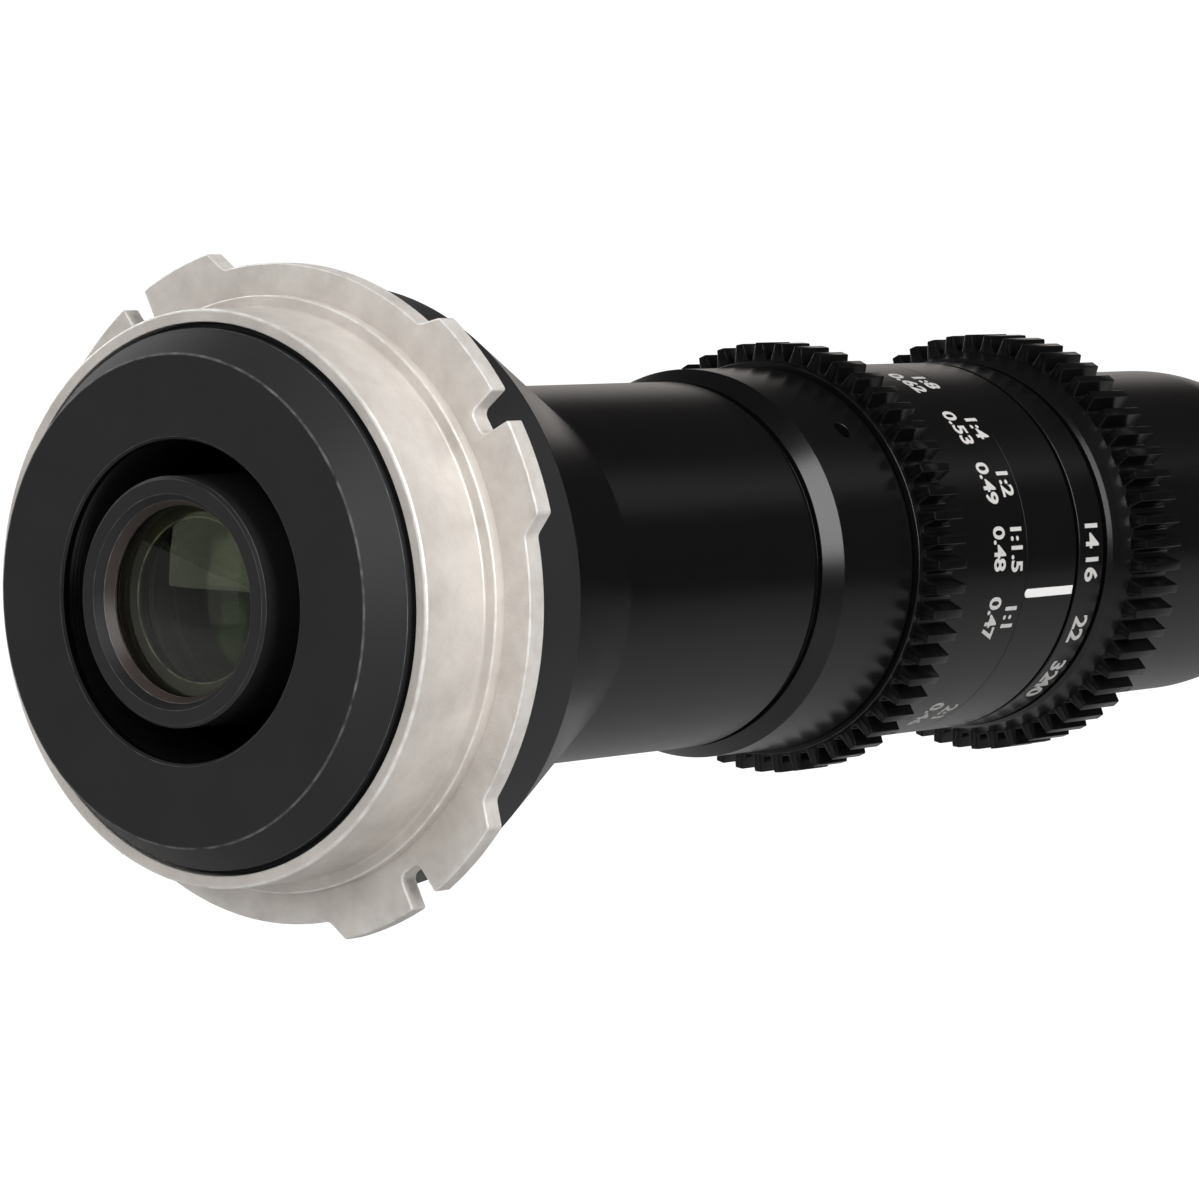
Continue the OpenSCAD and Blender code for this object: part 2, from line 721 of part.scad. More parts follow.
// Slot that a cam pin follows: the pin's angle in the turning cam falls as it moves forward
module helical_slot() {
    side_deg = asin((pin_r + slot_clear) / cam_in_r);
    slope = atan(travel_per_deg * half_turn / PI / cam_in_r);
    half_h = (pin_r + slot_clear) / cos(slope);
    low_z = pin_low_z - travel_per_deg * side_deg - half_h;
    high_z = pin_high_z + travel_per_deg * side_deg + half_h;
    half_span = half_h / travel_per_deg;
    turn = (high_z - low_z) / travel_per_deg;
    in_r = cam_in_r - 2 * cut;
    out_r = cam_r + 4 * cut;
    close_a = focus_close_deg + side_deg;
    far_a = -focus_far_deg - side_deg;
    mid_a = (close_a + far_a + full_turn) / 2;
    wide_r = 2 * out_r;
    difference() {
        translate([0, 0, low_z]) rotate([0, 0, (pin_z - low_z) / travel_per_deg])
            linear_extrude(high_z - low_z, twist = turn, slices = cam_slices, $fn = bar_sides)
                polygon([at(in_r, -half_span), at(out_r, -half_span),
                    at(out_r, half_span), at(in_r, half_span)]);
        translate([0, 0, low_z - cut]) linear_extrude(high_z - low_z + 2 * cut)
            polygon([[0, 0], at(wide_r, close_a), at(wide_r, mid_a), at(wide_r, far_a + full_turn)]);
    }
}

module focus_carriage() {
    lip_z = pin_z - carriage_lip_t / 2;
    lip_r = carriage_bore_r - carriage_lip_w;
    color([0.3, 0.3, 0.32]) lay() difference() {
        turned([[carriage_bore_r, carriage_z], [carriage_r, carriage_z],
            [carriage_r, carriage_z + carriage_len], [carriage_bore_r, carriage_z + carriage_len],
            [carriage_bore_r, lip_z + carriage_lip_t], [lip_r, lip_z + carriage_lip_t],
            [lip_r, lip_z], [carriage_bore_r, lip_z]]);
        around(pin_count) spoke(pin_r + fit / 2, pin_in_r, carriage_r + cut, pin_z);
    }
}

module cam_pins() {
    color([0.7, 0.7, 0.72]) lay() around(pin_count) spoke(pin_r, pin_in_r, pin_out_r, pin_z);
}

module focus_doublet() {
    color([0.5, 0.6, 0.55]) lay() glass(focus_glass_r, focus_clear_r, focus_doublet_t,
        focus_bulge, -focus_bulge / 2, pin_z - carriage_lip_t / 2 - focus_doublet_t);
}

module focus_element() {
    color([0.5, 0.6, 0.55]) lay() glass(focus_glass_r, focus_clear_r, focus_element_t,
        -focus_bulge / 2, focus_bulge, pin_z + carriage_lip_t / 2);
}

module focus_retaining_rings() {
    color([0.12, 0.12, 0.13]) lay() {
        tube(focus_glass_r, focus_clear_r,
            pin_z - carriage_lip_t / 2 - focus_doublet_t - retainer_t, retainer_t);
        tube(focus_glass_r, focus_clear_r, pin_z + carriage_lip_t / 2 + focus_element_t, retainer_t);
    }
}

module index_ring() {
    end_z = index_z + index_len;
    color([0.09, 0.09, 0.1]) lay() difference() {
        turned([[inner_r + fit, index_z], [sleeve_r - edge, index_z], [sleeve_r, index_z + edge],
            [sleeve_r, end_z - edge], [sleeve_r - edge, end_z], [inner_r + fit, end_z]]);
        index_line(mark_depth + cut);
    }
}

// Shallow groove of the index line, of the given depth from its floor outwards
module index_line(depth) {
    span = index_mark_w / sleeve_r * half_turn / PI;
    rotate([0, 0, mark_turn - span / 2]) rotate_extrude(angle = span)
        translate([sleeve_r - mark_depth, index_z + edge]) square([depth, index_len - 2 * edge]);
}

module index_mark() {
    color([0.95, 0.95, 0.93]) lay() index_line(mark_depth);
}

module aperture_ring() {
    band_z = aperture_z + neck_len;
    groove_z = band_z + aperture_band_len;
    step_z = groove_z + aperture_groove_len;
    neck_r = sleeve_r - 2 * aperture_ridge;
    gear_end_z = aperture_z + aperture_len - 2 * edge;
    gear_z = gear_end_z - aperture_gear_len;
    step_r = sleeve_r + aperture_ridge / 3;
    color([0.09, 0.09, 0.1]) lay() difference() {
        union() {
            turned([[0, aperture_z], [neck_r, aperture_z], [neck_r, band_z],
                [sleeve_r, band_z], [sleeve_r, groove_z], [neck_r, groove_z], [neck_r, step_z],
                [step_r, step_z], [step_r + aperture_ridge, step_z + aperture_groove_len],
                [step_r + 2 * aperture_ridge, step_z + 3 * aperture_groove_len],
                [aperture_root_r, gear_z], [aperture_root_r, gear_end_z],
                [aperture_root_r - edge, gear_end_z + 2 * edge], [0, gear_end_z + 2 * edge]]);
            translate([0, 0, gear_z]) linear_extrude(aperture_gear_len) polygon(gear_points(aperture_teeth));
        }
        translate([0, 0, aperture_z - cut]) cylinder(r = aperture_bore_r, h = aperture_len + 2 * cut);
        rotate([0, 0, key_turn]) spoke(key_r + fit / 2, inner_r, aperture_bore_r + key_sink, key_z);
    }
}

module aperture_key() {
    color([0.7, 0.7, 0.72]) lay() rotate([0, 0, key_turn])
        spoke(key_r, drive_r - drive_rim_w + fit, aperture_bore_r + key_sink - fit, key_z);
}

module iris_base() {
    color([0.15, 0.15, 0.16]) lay() difference() {
        tube(iris_bore_r - fit, iris_r, iris_z, iris_base_t);
        around(iris_n) translate([pivot_r, 0, iris_z - cut])
            cylinder(r = pivot_stud_r + fit, h = iris_base_t + 2 * cut);
    }
}

// Blade number i: a crescent with a pivot stud to the base and a drive stud to the drive ring
module iris_blade(i) {
    layer_z = blade_z + i * blade_pitch;
    stud = stud_at(0);
    stud_a = atan2(stud.y, stud.x);
    wide_r = 2 * blade_out_r;
    arm_w = blade_arm_share * blade_boss_r;
    root_r = (blade_in_r + blade_out_r) / 2;
    color([0.16, 0.16, 0.17]) lay() rotate([0, 0, i * iris_pitch])
        translate([pivot_r, 0, 0]) rotate([0, 0, blade_rest_deg]) translate([-pivot_r, 0, 0]) {
            translate([0, 0, layer_z]) linear_extrude(blade_t) {
                intersection() {
                    difference() {
                        circle(r = blade_out_r);
                        circle(r = blade_in_r);
                    }
                    polygon([[0, 0], for (share = [0:1 / blade_sector_steps:1])
                        at(wide_r, blade_from_deg + share * (blade_to_deg - blade_from_deg))]);
                }
                translate([pivot_r, 0]) circle(r = blade_boss_r);
                translate(stud) circle(r = blade_boss_r);
                translate([pivot_r, 0]) rotate([0, 0, psi_open])
                    translate([0, -arm_w / 2]) square([link_len, arm_w]);
                rotate([0, 0, stud_a]) translate([root_r, -blade_boss_r])
                    square([stud_open_r - root_r, 2 * blade_boss_r]);
            }
            translate([pivot_r, 0, iris_z + blade_gap])
                cylinder(r = pivot_stud_r, h = layer_z + blade_t - iris_z - blade_gap);
            translate([stud.x, stud.y, layer_z])
                cylinder(r = drive_stud_r, h = drive_z + drive_t - blade_gap - layer_z);
        }
}

module iris_blade_1() { iris_blade(0); }
module iris_blade_2() { iris_blade(1); }
module iris_blade_3() { iris_blade(2); }
module iris_blade_4() { iris_blade(3); }
module iris_blade_5() { iris_blade(4); }
module iris_blade_6() { iris_blade(5); }
module iris_blade_7() { iris_blade(6); }

// Slot in the drive ring that moves a blade's drive stud inwards as the ring closes
module drive_slot() {
    path = slot_path();
    last = len(path) - 1;
    polygon([for (p = path) at(p[0] + slot_half_w, p[1]),
        for (i = [last:-1:0]) at(path[i][0] - slot_half_w, path[i][1])]);
    for (p = [path[0], path[last]]) translate(at(p[0], p[1])) circle(r = slot_half_w);
}

module iris_drive_ring() {
    slot_low_r = norm(stud_at(blade_swing_deg)) - slot_half_w;
    ring_in_r = slot_low_r - thin_wall;
    color([0.5, 0.5, 0.52]) lay() difference() {
        union() {
            tube(drive_r, ring_in_r, drive_z, drive_t);
            tube(drive_r, drive_r - drive_rim_w, drive_z, drive_t + drive_rim_len);
        }
        translate([0, 0, drive_z - cut]) linear_extrude(drive_t + cut)
            for (i = [0:iris_n - 1]) rotate([0, 0, i * iris_pitch]) drive_slot();
        rotate([0, 0, key_turn]) spoke(key_r + fit / 2, drive_r - drive_rim_w - cut, drive_r + cut, key_z);
    }
}

module iris_cover() {
    color([0.15, 0.15, 0.16]) lay() tube(iris_bore_r - fit, collimator_clear_r, cover_z, cover_t);
}

module nose() {
    cavity_r = iris_bore_r;
    arc = [for (i = [0:nose_arc_steps])
        let (d = nose_round_len * i / nose_arc_steps)
        [nose_r - nose_round_r + sqrt(nose_round_r * nose_round_r - d * d), nose_round_z + d]];
    color([0.09, 0.09, 0.1]) lay() difference() {
        rotate_extrude() polygon(concat(
            [[inner_r + fit, nose_z], [nose_r - edge, nose_z], [nose_r, nose_z + edge]], arc,
            [[nose_collar_r, nose_end_z - edge], [nose_collar_r - edge, nose_end_z],
            [tail_r + fit, nose_end_z], [tail_r + fit, tube_seat_z], [probe_bore_r, tube_seat_z],
            [probe_bore_r, nose_wall_z], [cavity_r, nose_wall_z], [cavity_r, inner_end_z],
            [inner_r + fit, inner_end_z]]));
        tube(tail_r + 2 * seal_r + 2 * fit, tail_r - cut, seal_z - seal_groove_w / 2, seal_groove_w);
        rotate([0, 0, jack_turn]) {
            spoke(jack_r + fit, cavity_r - cut, nose_r, jack_z);
            spoke(jack_r + jack_flange_w + fit, nose_r - jack_flat, nose_r + cut, jack_z);
        }
    }
}

module nose_seal() {
    color([0.05, 0.05, 0.05]) lay() translate([0, 0, seal_z])
        rotate_extrude() translate([tail_r + seal_r + fit, 0]) circle(r = seal_r, $fn = seal_sides);
}

module probe_tube() {
    color([0.09, 0.09, 0.1]) lay() turned([
        [probe_bore_r, tube_seat_z], [tail_r, tube_seat_z], [tail_r, tube_step_z], [probe_r, tube_step_z],
        [probe_r, tube_end_z], [probe_bore_r, tube_end_z]]);
}

module relay_tube() {
    lip_r = relay_bore_r - relay_lip_w;
    head_z = relay_z + relay_head_len;
    seat_z = relay_z + collimator_gap + collimator_t;
    color([0.3, 0.3, 0.32]) lay() turned([
        [collimator_r + fit, relay_z], [iris_bore_r - fit, relay_z],
        [iris_bore_r - fit, relay_z + relay_flange_t], [relay_head_r, relay_z + relay_flange_t],
        [relay_head_r, head_z], [relay_r, relay_stack_z], [relay_r, relay_end_z],
        [relay_bore_r, relay_end_z], [relay_bore_r, relay_stack_z], [lip_r, relay_stack_z],
        [lip_r, seat_z], [collimator_r + fit, seat_z]]);
}

module collimator_lens() {
    color([0.5, 0.6, 0.55]) lay() glass(collimator_r, collimator_clear_r, collimator_t,
        -collimator_bulge, -collimator_bulge, relay_z + collimator_gap);
}

module relay_lenses() {
    color([0.5, 0.6, 0.55]) lay() for (i = [0:relay_n - 1])
        glass(relay_bore_r - fit, relay_bore_r - relay_lip_w - fit, relay_glass_t, relay_bulge, relay_bulge,
            relay_stack_z + i * (relay_glass_t + relay_spacer_len));
}

module relay_spacers() {
    color([0.08, 0.08, 0.08]) lay() for (i = [0:relay_n - 1])
        tube(relay_bore_r - fit, relay_bore_r - relay_lip_w,
            relay_stack_z + relay_glass_t + i * (relay_glass_t + relay_spacer_len), relay_spacer_len);
}

module power_socket() {
    face_r = nose_r - jack_flat + jack_flange_t;
    color([0.6, 0.6, 0.62]) lay() rotate([0, 0, jack_turn]) difference() {
        union() {
            spoke(jack_r, jack_in_r, face_r, jack_z);
            spoke(jack_r + jack_flange_w, nose_r - jack_flat, face_r, jack_z);
        }
        spoke(jack_hole_r, jack_in_r + jack_floor, face_r + cut, jack_z);
        spoke(jack_pin_r + fit / 2, jack_in_r - cut, face_r, jack_z);
    }
}

module socket_pin() {
    color([0.8, 0.65, 0.3]) lay() rotate([0, 0, jack_turn])
        spoke(jack_pin_r, flex_out_r + fit, nose_r - 2 * jack_flat, jack_z);
}

module led_flex() {
    color([0.75, 0.5, 0.2]) lay() rotate([0, 0, jack_turn - flex_span_deg / 2])
        rotate_extrude(angle = flex_span_deg)
            translate([flex_out_r - flex_t, jack_z - jack_r])
                square([flex_t, board_z + board_t - jack_z + jack_r]);
}

module tip_bezel() {
    lip_r = bezel_bore_r - bezel_lip_w;
    spigot_z = tube_end_z - bezel_spigot_len;
    seat_z = tube_end_z + gasket_t;
    notch_deg = flex_span_deg + 2 * flex_side_deg;
    color([0.09, 0.09, 0.1]) lay() difference() {
        turned([[bezel_bore_r - bezel_wall, spigot_z], [bezel_spigot_r, spigot_z], [bezel_spigot_r, seat_z],
            [bezel_r, seat_z], [bezel_r, tip_z - 2 * edge], [bezel_r - 2 * edge, tip_z], [lip_r, tip_z],
            [lip_r, tip_z - bezel_lip_t], [bezel_bore_r, tip_z - bezel_lip_t], [bezel_bore_r, board_z],
            [bezel_bore_r - bezel_wall, board_z]]);
        rotate([0, 0, jack_turn - notch_deg / 2]) rotate_extrude(angle = notch_deg)
            translate([flex_out_r - 2 * flex_t, spigot_z - cut])
                square([2 * flex_t + cut, board_z + board_t - spigot_z + 2 * cut]);
    }
}

module tip_gasket() {
    color([0.05, 0.05, 0.05]) lay()
        tube(bezel_spigot_r + gasket_wall, bezel_spigot_r + fit, tube_end_z, gasket_t);
}

module led_board() {
    color([0.9, 0.9, 0.88]) lay() tube(board_r, board_in_r, board_z, board_t);
}

module leds() {
    mid_r = (board_r + board_in_r) / 2;
    color([0.95, 0.9, 0.6]) lay() around(led_count)
        translate([mid_r - led_side / 2, -led_side / 2, board_z + board_t])
            cube([led_side, led_side, led_h]);
}

module light_window() {
    color([0.92, 0.92, 0.9]) lay() tube(board_r, board_in_r, window_z, window_t);
}

module front_cell() {
    clear_r = front_clear_r;
    color([0.12, 0.12, 0.13]) lay() turned([
        [front_bore_r, front_cell_z], [relay_bore_r - fit, front_cell_z],
        [relay_bore_r - fit, front_cell_z + front_flange_t], [front_cell_r, front_cell_z + front_flange_t],
        [front_cell_r, tip_z - edge], [front_cell_r - edge, tip_z], [front_bore_r, tip_z],
        [front_bore_r, front_glass_z], [clear_r, front_glass_z], [clear_r, front_step_z],
        [front_bore_r, front_step_z]]);
}

module objective_lens() {
    color([0.5, 0.6, 0.55]) lay() glass(front_glass_r, front_clear_r, objective_t,
        front_bulge, front_bulge, front_step_z - objective_t);
}

module front_element() {
    color([0.5, 0.6, 0.55]) lay() glass(front_glass_r, front_clear_r, front_glass_t,
        -front_bulge, front_bulge / 2, front_glass_z);
}

module front_retaining_ring() {
    color([0.12, 0.12, 0.13]) lay() tube(front_glass_r, front_clear_r, front_ring_z, front_ring_t);
}

mount_flange();
mount_shim();
mount_screws();
rear_baffle();
mount_adapter();
rear_cell();
rear_retaining_ring();
rear_element();
rear_spacer();
rear_doublet();
rear_barrel();
barrel_sleeve();
grub_screws();
inner_barrel();
focus_ring();
focus_cam();
focus_carriage();
cam_pins();
focus_doublet();
focus_element();
focus_retaining_rings();
index_ring();
index_mark();
aperture_ring();
aperture_key();
iris_base();
iris_drive_ring();
iris_cover();
iris_blade_1();
iris_blade_2();
iris_blade_3();
iris_blade_4();
iris_blade_5();
iris_blade_6();
iris_blade_7();
nose();
nose_seal();
probe_tube();
relay_tube();
collimator_lens();
relay_lenses();
relay_spacers();
power_socket();
socket_pin();
led_flex();
tip_bezel();
tip_gasket();
led_board();
leds();
light_window();
front_cell();
objective_lens();
front_element();
front_retaining_ring();
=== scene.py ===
"""Macro probe lens: detailed pieces, finishes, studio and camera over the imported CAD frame.

Sizes are in millimetres, along the optical axis from the mount's seat face at Y = 0 towards the tip.
Angles round the axis are clock angles in degrees: 0 is up (+Z) and 90 is the index side (+X).
"""
import math

import bmesh
import bpy
import numpy as np
from mathutils import Matrix, Vector


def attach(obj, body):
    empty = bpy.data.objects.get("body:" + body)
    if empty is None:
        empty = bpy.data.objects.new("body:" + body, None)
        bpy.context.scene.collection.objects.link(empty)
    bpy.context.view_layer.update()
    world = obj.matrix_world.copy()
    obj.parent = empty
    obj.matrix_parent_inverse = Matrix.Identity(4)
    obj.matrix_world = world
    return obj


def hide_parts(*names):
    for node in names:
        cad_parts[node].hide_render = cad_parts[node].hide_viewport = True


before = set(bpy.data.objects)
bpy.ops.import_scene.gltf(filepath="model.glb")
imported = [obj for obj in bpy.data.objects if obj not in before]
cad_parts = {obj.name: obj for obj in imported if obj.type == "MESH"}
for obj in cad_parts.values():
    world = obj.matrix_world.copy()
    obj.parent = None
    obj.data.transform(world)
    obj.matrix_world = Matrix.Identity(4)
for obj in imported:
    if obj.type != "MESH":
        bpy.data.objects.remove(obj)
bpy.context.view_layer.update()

MM = 0.001
TURN = 360.0
SEGMENTS = 192

# Sizes that follow the CAD source, but for a narrower seam between the focus ring and the index ring
THROAT_R, BORE_R, SHOULDER_R = 27.0, 25.75, 28.2
THROAT_END, SHOULDER_END, FLANGE_T = -9.5, -1.3, 2.1
FLANGE_R, LUG_R, LEDGE_R = 31.2, 33.2, 20.5
LUG_HALF, LUG_CORNER, LUG_TURN = 21.5, 3.0, 45.0
# Degrees between the points of the flange's arcs
RIM_STEP = 1.5
NOTCH_FLOOR_R, NOTCH_MOUTH, NOTCH_FLOOR = 29.9, 1.62, 1.25
BAFFLE_END, BAFFLE_FACE_R, BAFFLE_OPEN_R = -13.3, 22.9, 15.0
CELL_END, CELL_R, CELL_BORE_R, CELL_CLEAR_R = -14.2, 11.65, 9.75, 8.9
RIM_R, RIM_START, RIM_END, CONE_END, CONE_R = 29.1, 2.3, 9.9, 29.55, 19.3
BARREL_R, BARREL_START, SLEEVE_START = 18.95, 30.0, 60.1
SLEEVE_R, SLEEVE_END = 20.2, 75.2
FOCUS_START, FOCUS_GEAR, FOCUS_BAND, FOCUS_END = 75.45, 76.2, 81.3, 96.10
INDEX_START, INDEX_END = 96.15, 105.6
APERTURE_START, APERTURE_END = 105.85, 122.4
APERTURE_GEAR, APERTURE_GEAR_END = 114.8, 121.9
NOSE_R, NOSE_START, NOSE_ROUND, NOSE_END = 18.6, 122.65, 148.0, 172.5
COLLAR_R, NOSE_ROUND_R = 11.2, 30.0
PROBE_R, PROBE_BORE_R, PROBE_END, TIP = 10.0, 8.7, 394.0, 400.0
GEAR_MODULE, TOOTH_CHAMFER = 0.8, 0.2
FOCUS_TEETH, APERTURE_TEETH = 55, 56
JACK_Y, JACK_TURN = 140.0, 270.0


# Meshes
def rounded(corners, closed=True):
    """Points, outward normals and wear of a polygon whose corners (a, b, radius) are rounded off."""
    pts = [np.array(c[:2], float) for c in corners]
    n = len(pts)
    area = sum(pts[i][0] * pts[(i + 1) % n][1] - pts[(i + 1) % n][0] * pts[i][1] for i in range(n))
    side = 1.0 if area > 0 else -1.0
    out = []
    for i in range(n):
        if not closed and i in (0, n - 1):
            d = pts[1] - pts[0] if i == 0 else pts[n - 1] - pts[n - 2]
            d = d / np.linalg.norm(d)
            out.append((*pts[i], side * d[1], -side * d[0], 0.0))
            continue
        before, after = pts[i] - pts[i - 1], pts[(i + 1) % n] - pts[i]
        room = 0.48 * min(np.linalg.norm(before), np.linalg.norm(after))
        before, after = before / np.linalg.norm(before), after / np.linalg.norm(after)
        cross = before[0] * after[1] - before[1] * after[0]
        turn = math.atan2(cross, float(before @ after))
        if abs(turn) < math.radians(7 if corners[i][2] == 0 else 0.5):
            mid = before + after
            mid = mid / np.linalg.norm(mid)
            out.append((*pts[i], side * mid[1], -side * mid[0], 0.0))
            continue
        radius = corners[i][2] or 0.03
        reach = min(room, radius * math.tan(abs(turn) / 2))
        radius = reach / math.tan(abs(turn) / 2)
        start = pts[i] - before * reach
        inward = np.array([-before[1], before[0]]) * (1 if turn > 0 else -1)
        centre = start + inward * radius
        steps = max(2, int(math.ceil(abs(turn) / math.radians(18))))
        for k in range(steps + 1):
            a = turn * k / steps
            ca, sa = math.cos(a), math.sin(a)
            arm = -inward * radius
            d = np.array([before[0] * ca - before[1] * sa, before[0] * sa + before[1] * ca])
            p = centre + np.array([arm[0] * ca - arm[1] * sa, arm[0] * sa + arm[1] * ca])
            wear = math.sin(math.pi * k / steps) * (1.0 if turn * side > 0 else -1.0)
            out.append((*p, side * d[1], -side * d[0], wear))
    return np.array(out)


def on_axis(r, y, turn):
    """Point in millimetres at radius r, place y and clock angle turn."""
    a = np.radians(turn)
    return np.stack(np.broadcast_arrays(r * np.sin(a), y, r * np.cos(a)), -1)


class Shell:
    """Vertices, normals, wear and faces that are gathered into one mesh."""

    def __init__(self):
        self.points, self.normals, self.wear, self.faces = [], [], [], []

    def add(self, points, normals, wear):
        first = sum(len(p) for p in self.points)
        points = np.asarray(points, float).reshape(-1, 3)
        self.points.append(points)
        self.normals.append(np.broadcast_to(np.asarray(normals, float), points.shape).reshape(-1, 3))
        self.wear.append(np.broadcast_to(np.asarray(wear, float), (len(points),)))
        return first + np.arange(len(points))

    def strip(self, low, high, closed=True):
        count = len(low) if closed else len(low) - 1
        for j in range(count):
            k = (j + 1) % len(low)
            self.faces.append((low[j], low[k], high[k], high[j]))

    def fan(self, ring, centre):
        for j in range(len(ring)):
            self.faces.append((ring[j], ring[(j + 1) % len(ring)], centre))

    def mesh(self, name, mend=False):
        points = np.concatenate(self.points) * MM
        normals = np.concatenate(self.normals)
        faces = []
        for f in self.faces:
            p = points[list(f)]
            face_normal = np.cross(p[1] - p[0], p[2] - p[0])
            if len(f) == 4:
                face_normal = np.cross(p[2] - p[0], p[3] - p[1])
            flip = face_normal @ normals[list(f)].sum(0) < 0
            faces.append(tuple(int(k) for k in (f[::-1] if flip else f)))
        made = bpy.data.meshes.new(name)
        made.from_pydata(points.tolist(), [], faces)
        made.polygons.foreach_set("use_smooth", [True] * len(made.polygons))
        wear = made.attributes.new("wear", "FLOAT", "POINT")
        wear.data.foreach_set("value", np.concatenate(self.wear).astype(np.float32))
        made.update()
        if mend:
            weld(made)
        else:
            lengths = np.linalg.norm(normals, axis=1, keepdims=True)
            made.normals_split_custom_set_from_vertices((normals / lengths).tolist())
        return made


def weld(mesh):
    """Joins the points that lie on each other, as at the poles of a lens."""
    work = bmesh.new()
    work.from_mesh(mesh)
    bmesh.ops.remove_doubles(work, verts=work.verts, dist=1e-7)
    bmesh.ops.dissolve_degenerate(work, edges=work.edges, dist=1e-8)
    work.to_mesh(mesh)
    work.free()


def piece(name, mesh, finish, body, slot, *nodes):
    """A finished piece that rides on a body and stands for CAD nodes."""
    made = bpy.data.objects.new(name, mesh)
    bpy.context.scene.collection.objects.link(made)
    if finish is not None:
        mesh.materials.clear()
        mesh.materials.append(finish)
    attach(made, body)
    if nodes:
        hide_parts(*nodes)
    return made


def second_finish(made, finish, inside):
    """Gives a turned piece's faces another finish where inside(radius, y) holds, in millimetres."""
    made.data.materials.append(finish)
    for face in made.data.polygons:
        x, y, z = face.center / MM
        if inside(math.hypot(x, z), y):
            face.material_index = 1


def pocket(shell, rings, profile, spot):
    """Sinks a round pocket into the lathed shell: spot is (turn, y, radius, floor radius, rim)."""
    turn, y, radius, floor_r, rim = spot
    half = radius + 4 * rim
    inner_side = 100 * (profile[:, 2] < 0.99)
    low, high = sorted(int(np.argmin(np.abs(profile[:, 1] - end) + inner_side))
                       for end in (y - half, y + half))
    wall_r = profile[low, 0]
    step = TURN / SEGMENTS
    span = math.degrees(half / wall_r)
    first = int(math.floor((turn - span) / step))
    last = int(math.ceil((turn + span) / step))
    cols = [j % SEGMENTS for j in range(first, last + 1)]
    gone = {frozenset((rings[low][a], rings[low][b], rings[high][a], rings[high][b]))
            for a, b in zip(cols, cols[1:])}
    shell.faces = [f for f in shell.faces if frozenset(f) not in gone]
    outer = [rings[low][j] for j in cols] + [rings[high][j] for j in reversed(cols)]
    points = np.concatenate(shell.points)
    centre = on_axis(wall_r, y, turn)
    across = on_axis(1.0, 0.0, turn + 90)

    def angle(p):
        return math.atan2(p[1] - centre[1], float((p - centre) @ across))
    outer.sort(key=lambda k: angle(points[k]))
    count = 32
    around = np.linspace(-math.pi, math.pi, count, endpoint=False)

    def ring(rad, r, normal_in, wear):
        u, v = rad * np.cos(around), rad * np.sin(around)
        on = turn + np.degrees(u / wall_r)
        out = on_axis(1.0, 0.0, on)
        inward = -(np.cos(around)[:, None] * across + np.sin(around)[:, None] * np.array([0, 1.0, 0]))
        return shell.add(on_axis(r, y + v, on), out * (1 - normal_in) + inward * normal_in, wear)
    loops = [ring(radius + rim, wall_r, 0.0, 0.0), ring(radius + rim / 3, wall_r - rim / 4, 0.4, 1.0),
             ring(radius, wall_r - rim, 1.0, 0.3), ring(radius, floor_r, 1.0, 0.0)]
    for a, b in zip(loops, loops[1:]):
        shell.strip(a, b)
    floor = ring(radius, floor_r, 0.0, -1.0)
    shell.fan(floor, shell.add([on_axis(floor_r, y, turn)], [on_axis(1.0, 0.0, turn)], 0.0)[0])
    points = np.concatenate(shell.points)
    i = j = 0
    inner = loops[0]
    oa = [angle(points[k]) for k in outer]
    ia = [angle(points[k]) for k in inner]
    while i < len(outer) or j < len(inner):
        next_o = oa[i + 1] if i + 1 < len(outer) else oa[(i + 1) % len(outer)] + 2 * math.pi
        next_i = ia[j + 1] if j + 1 < len(inner) else ia[(j + 1) % len(inner)] + 2 * math.pi
        a, b = outer[i % len(outer)], inner[j % len(inner)]
        if j >= len(inner) or (i < len(outer) and next_o <= next_i):
            shell.faces.append((a, outer[(i + 1) % len(outer)], b))
            i += 1
        else:
            shell.faces.append((a, inner[(j + 1) % len(inner)], b))
            j += 1


def lathe(name, corners, pockets=(), poles=False):
    """A turned piece from a closed profile of (radius, y, rounding) corners."""
    corners = list(corners)
    for spot in pockets:
        half = spot[2] + 4 * spot[4]
        for i in range(len(corners)):
            a, b = corners[i], corners[(i + 1) % len(corners)]
            low, high = min(a[1], b[1]), max(a[1], b[1])
            if a[0] == b[0] and low < spot[1] - half and high > spot[1] + half and a[0] > spot[3]:
                order = (spot[1] - half, spot[1] + half)
                order = order if b[1] > a[1] else order[::-1]
                corners[i + 1:i + 1] = [(a[0], order[0], 0), (a[0], order[1], 0)]
                break
    profile = rounded(corners, closed=not poles)
    turns = np.arange(SEGMENTS) * TURN / SEGMENTS
    shell = Shell()
    rings = []
    for r, y, nr, ny, wear in profile:
        radial = on_axis(1.0, 0.0, turns)
        rings.append(shell.add(on_axis(r, y, turns), radial * nr + np.array([0, ny, 0]), wear))
    count = len(rings) if not poles else len(rings) - 1
    for i in range(count):
        shell.strip(rings[i], rings[(i + 1) % len(rings)])
    for spot in pockets:
        pocket(shell, rings, profile, spot)
    return shell.mesh(name, mend=poles)


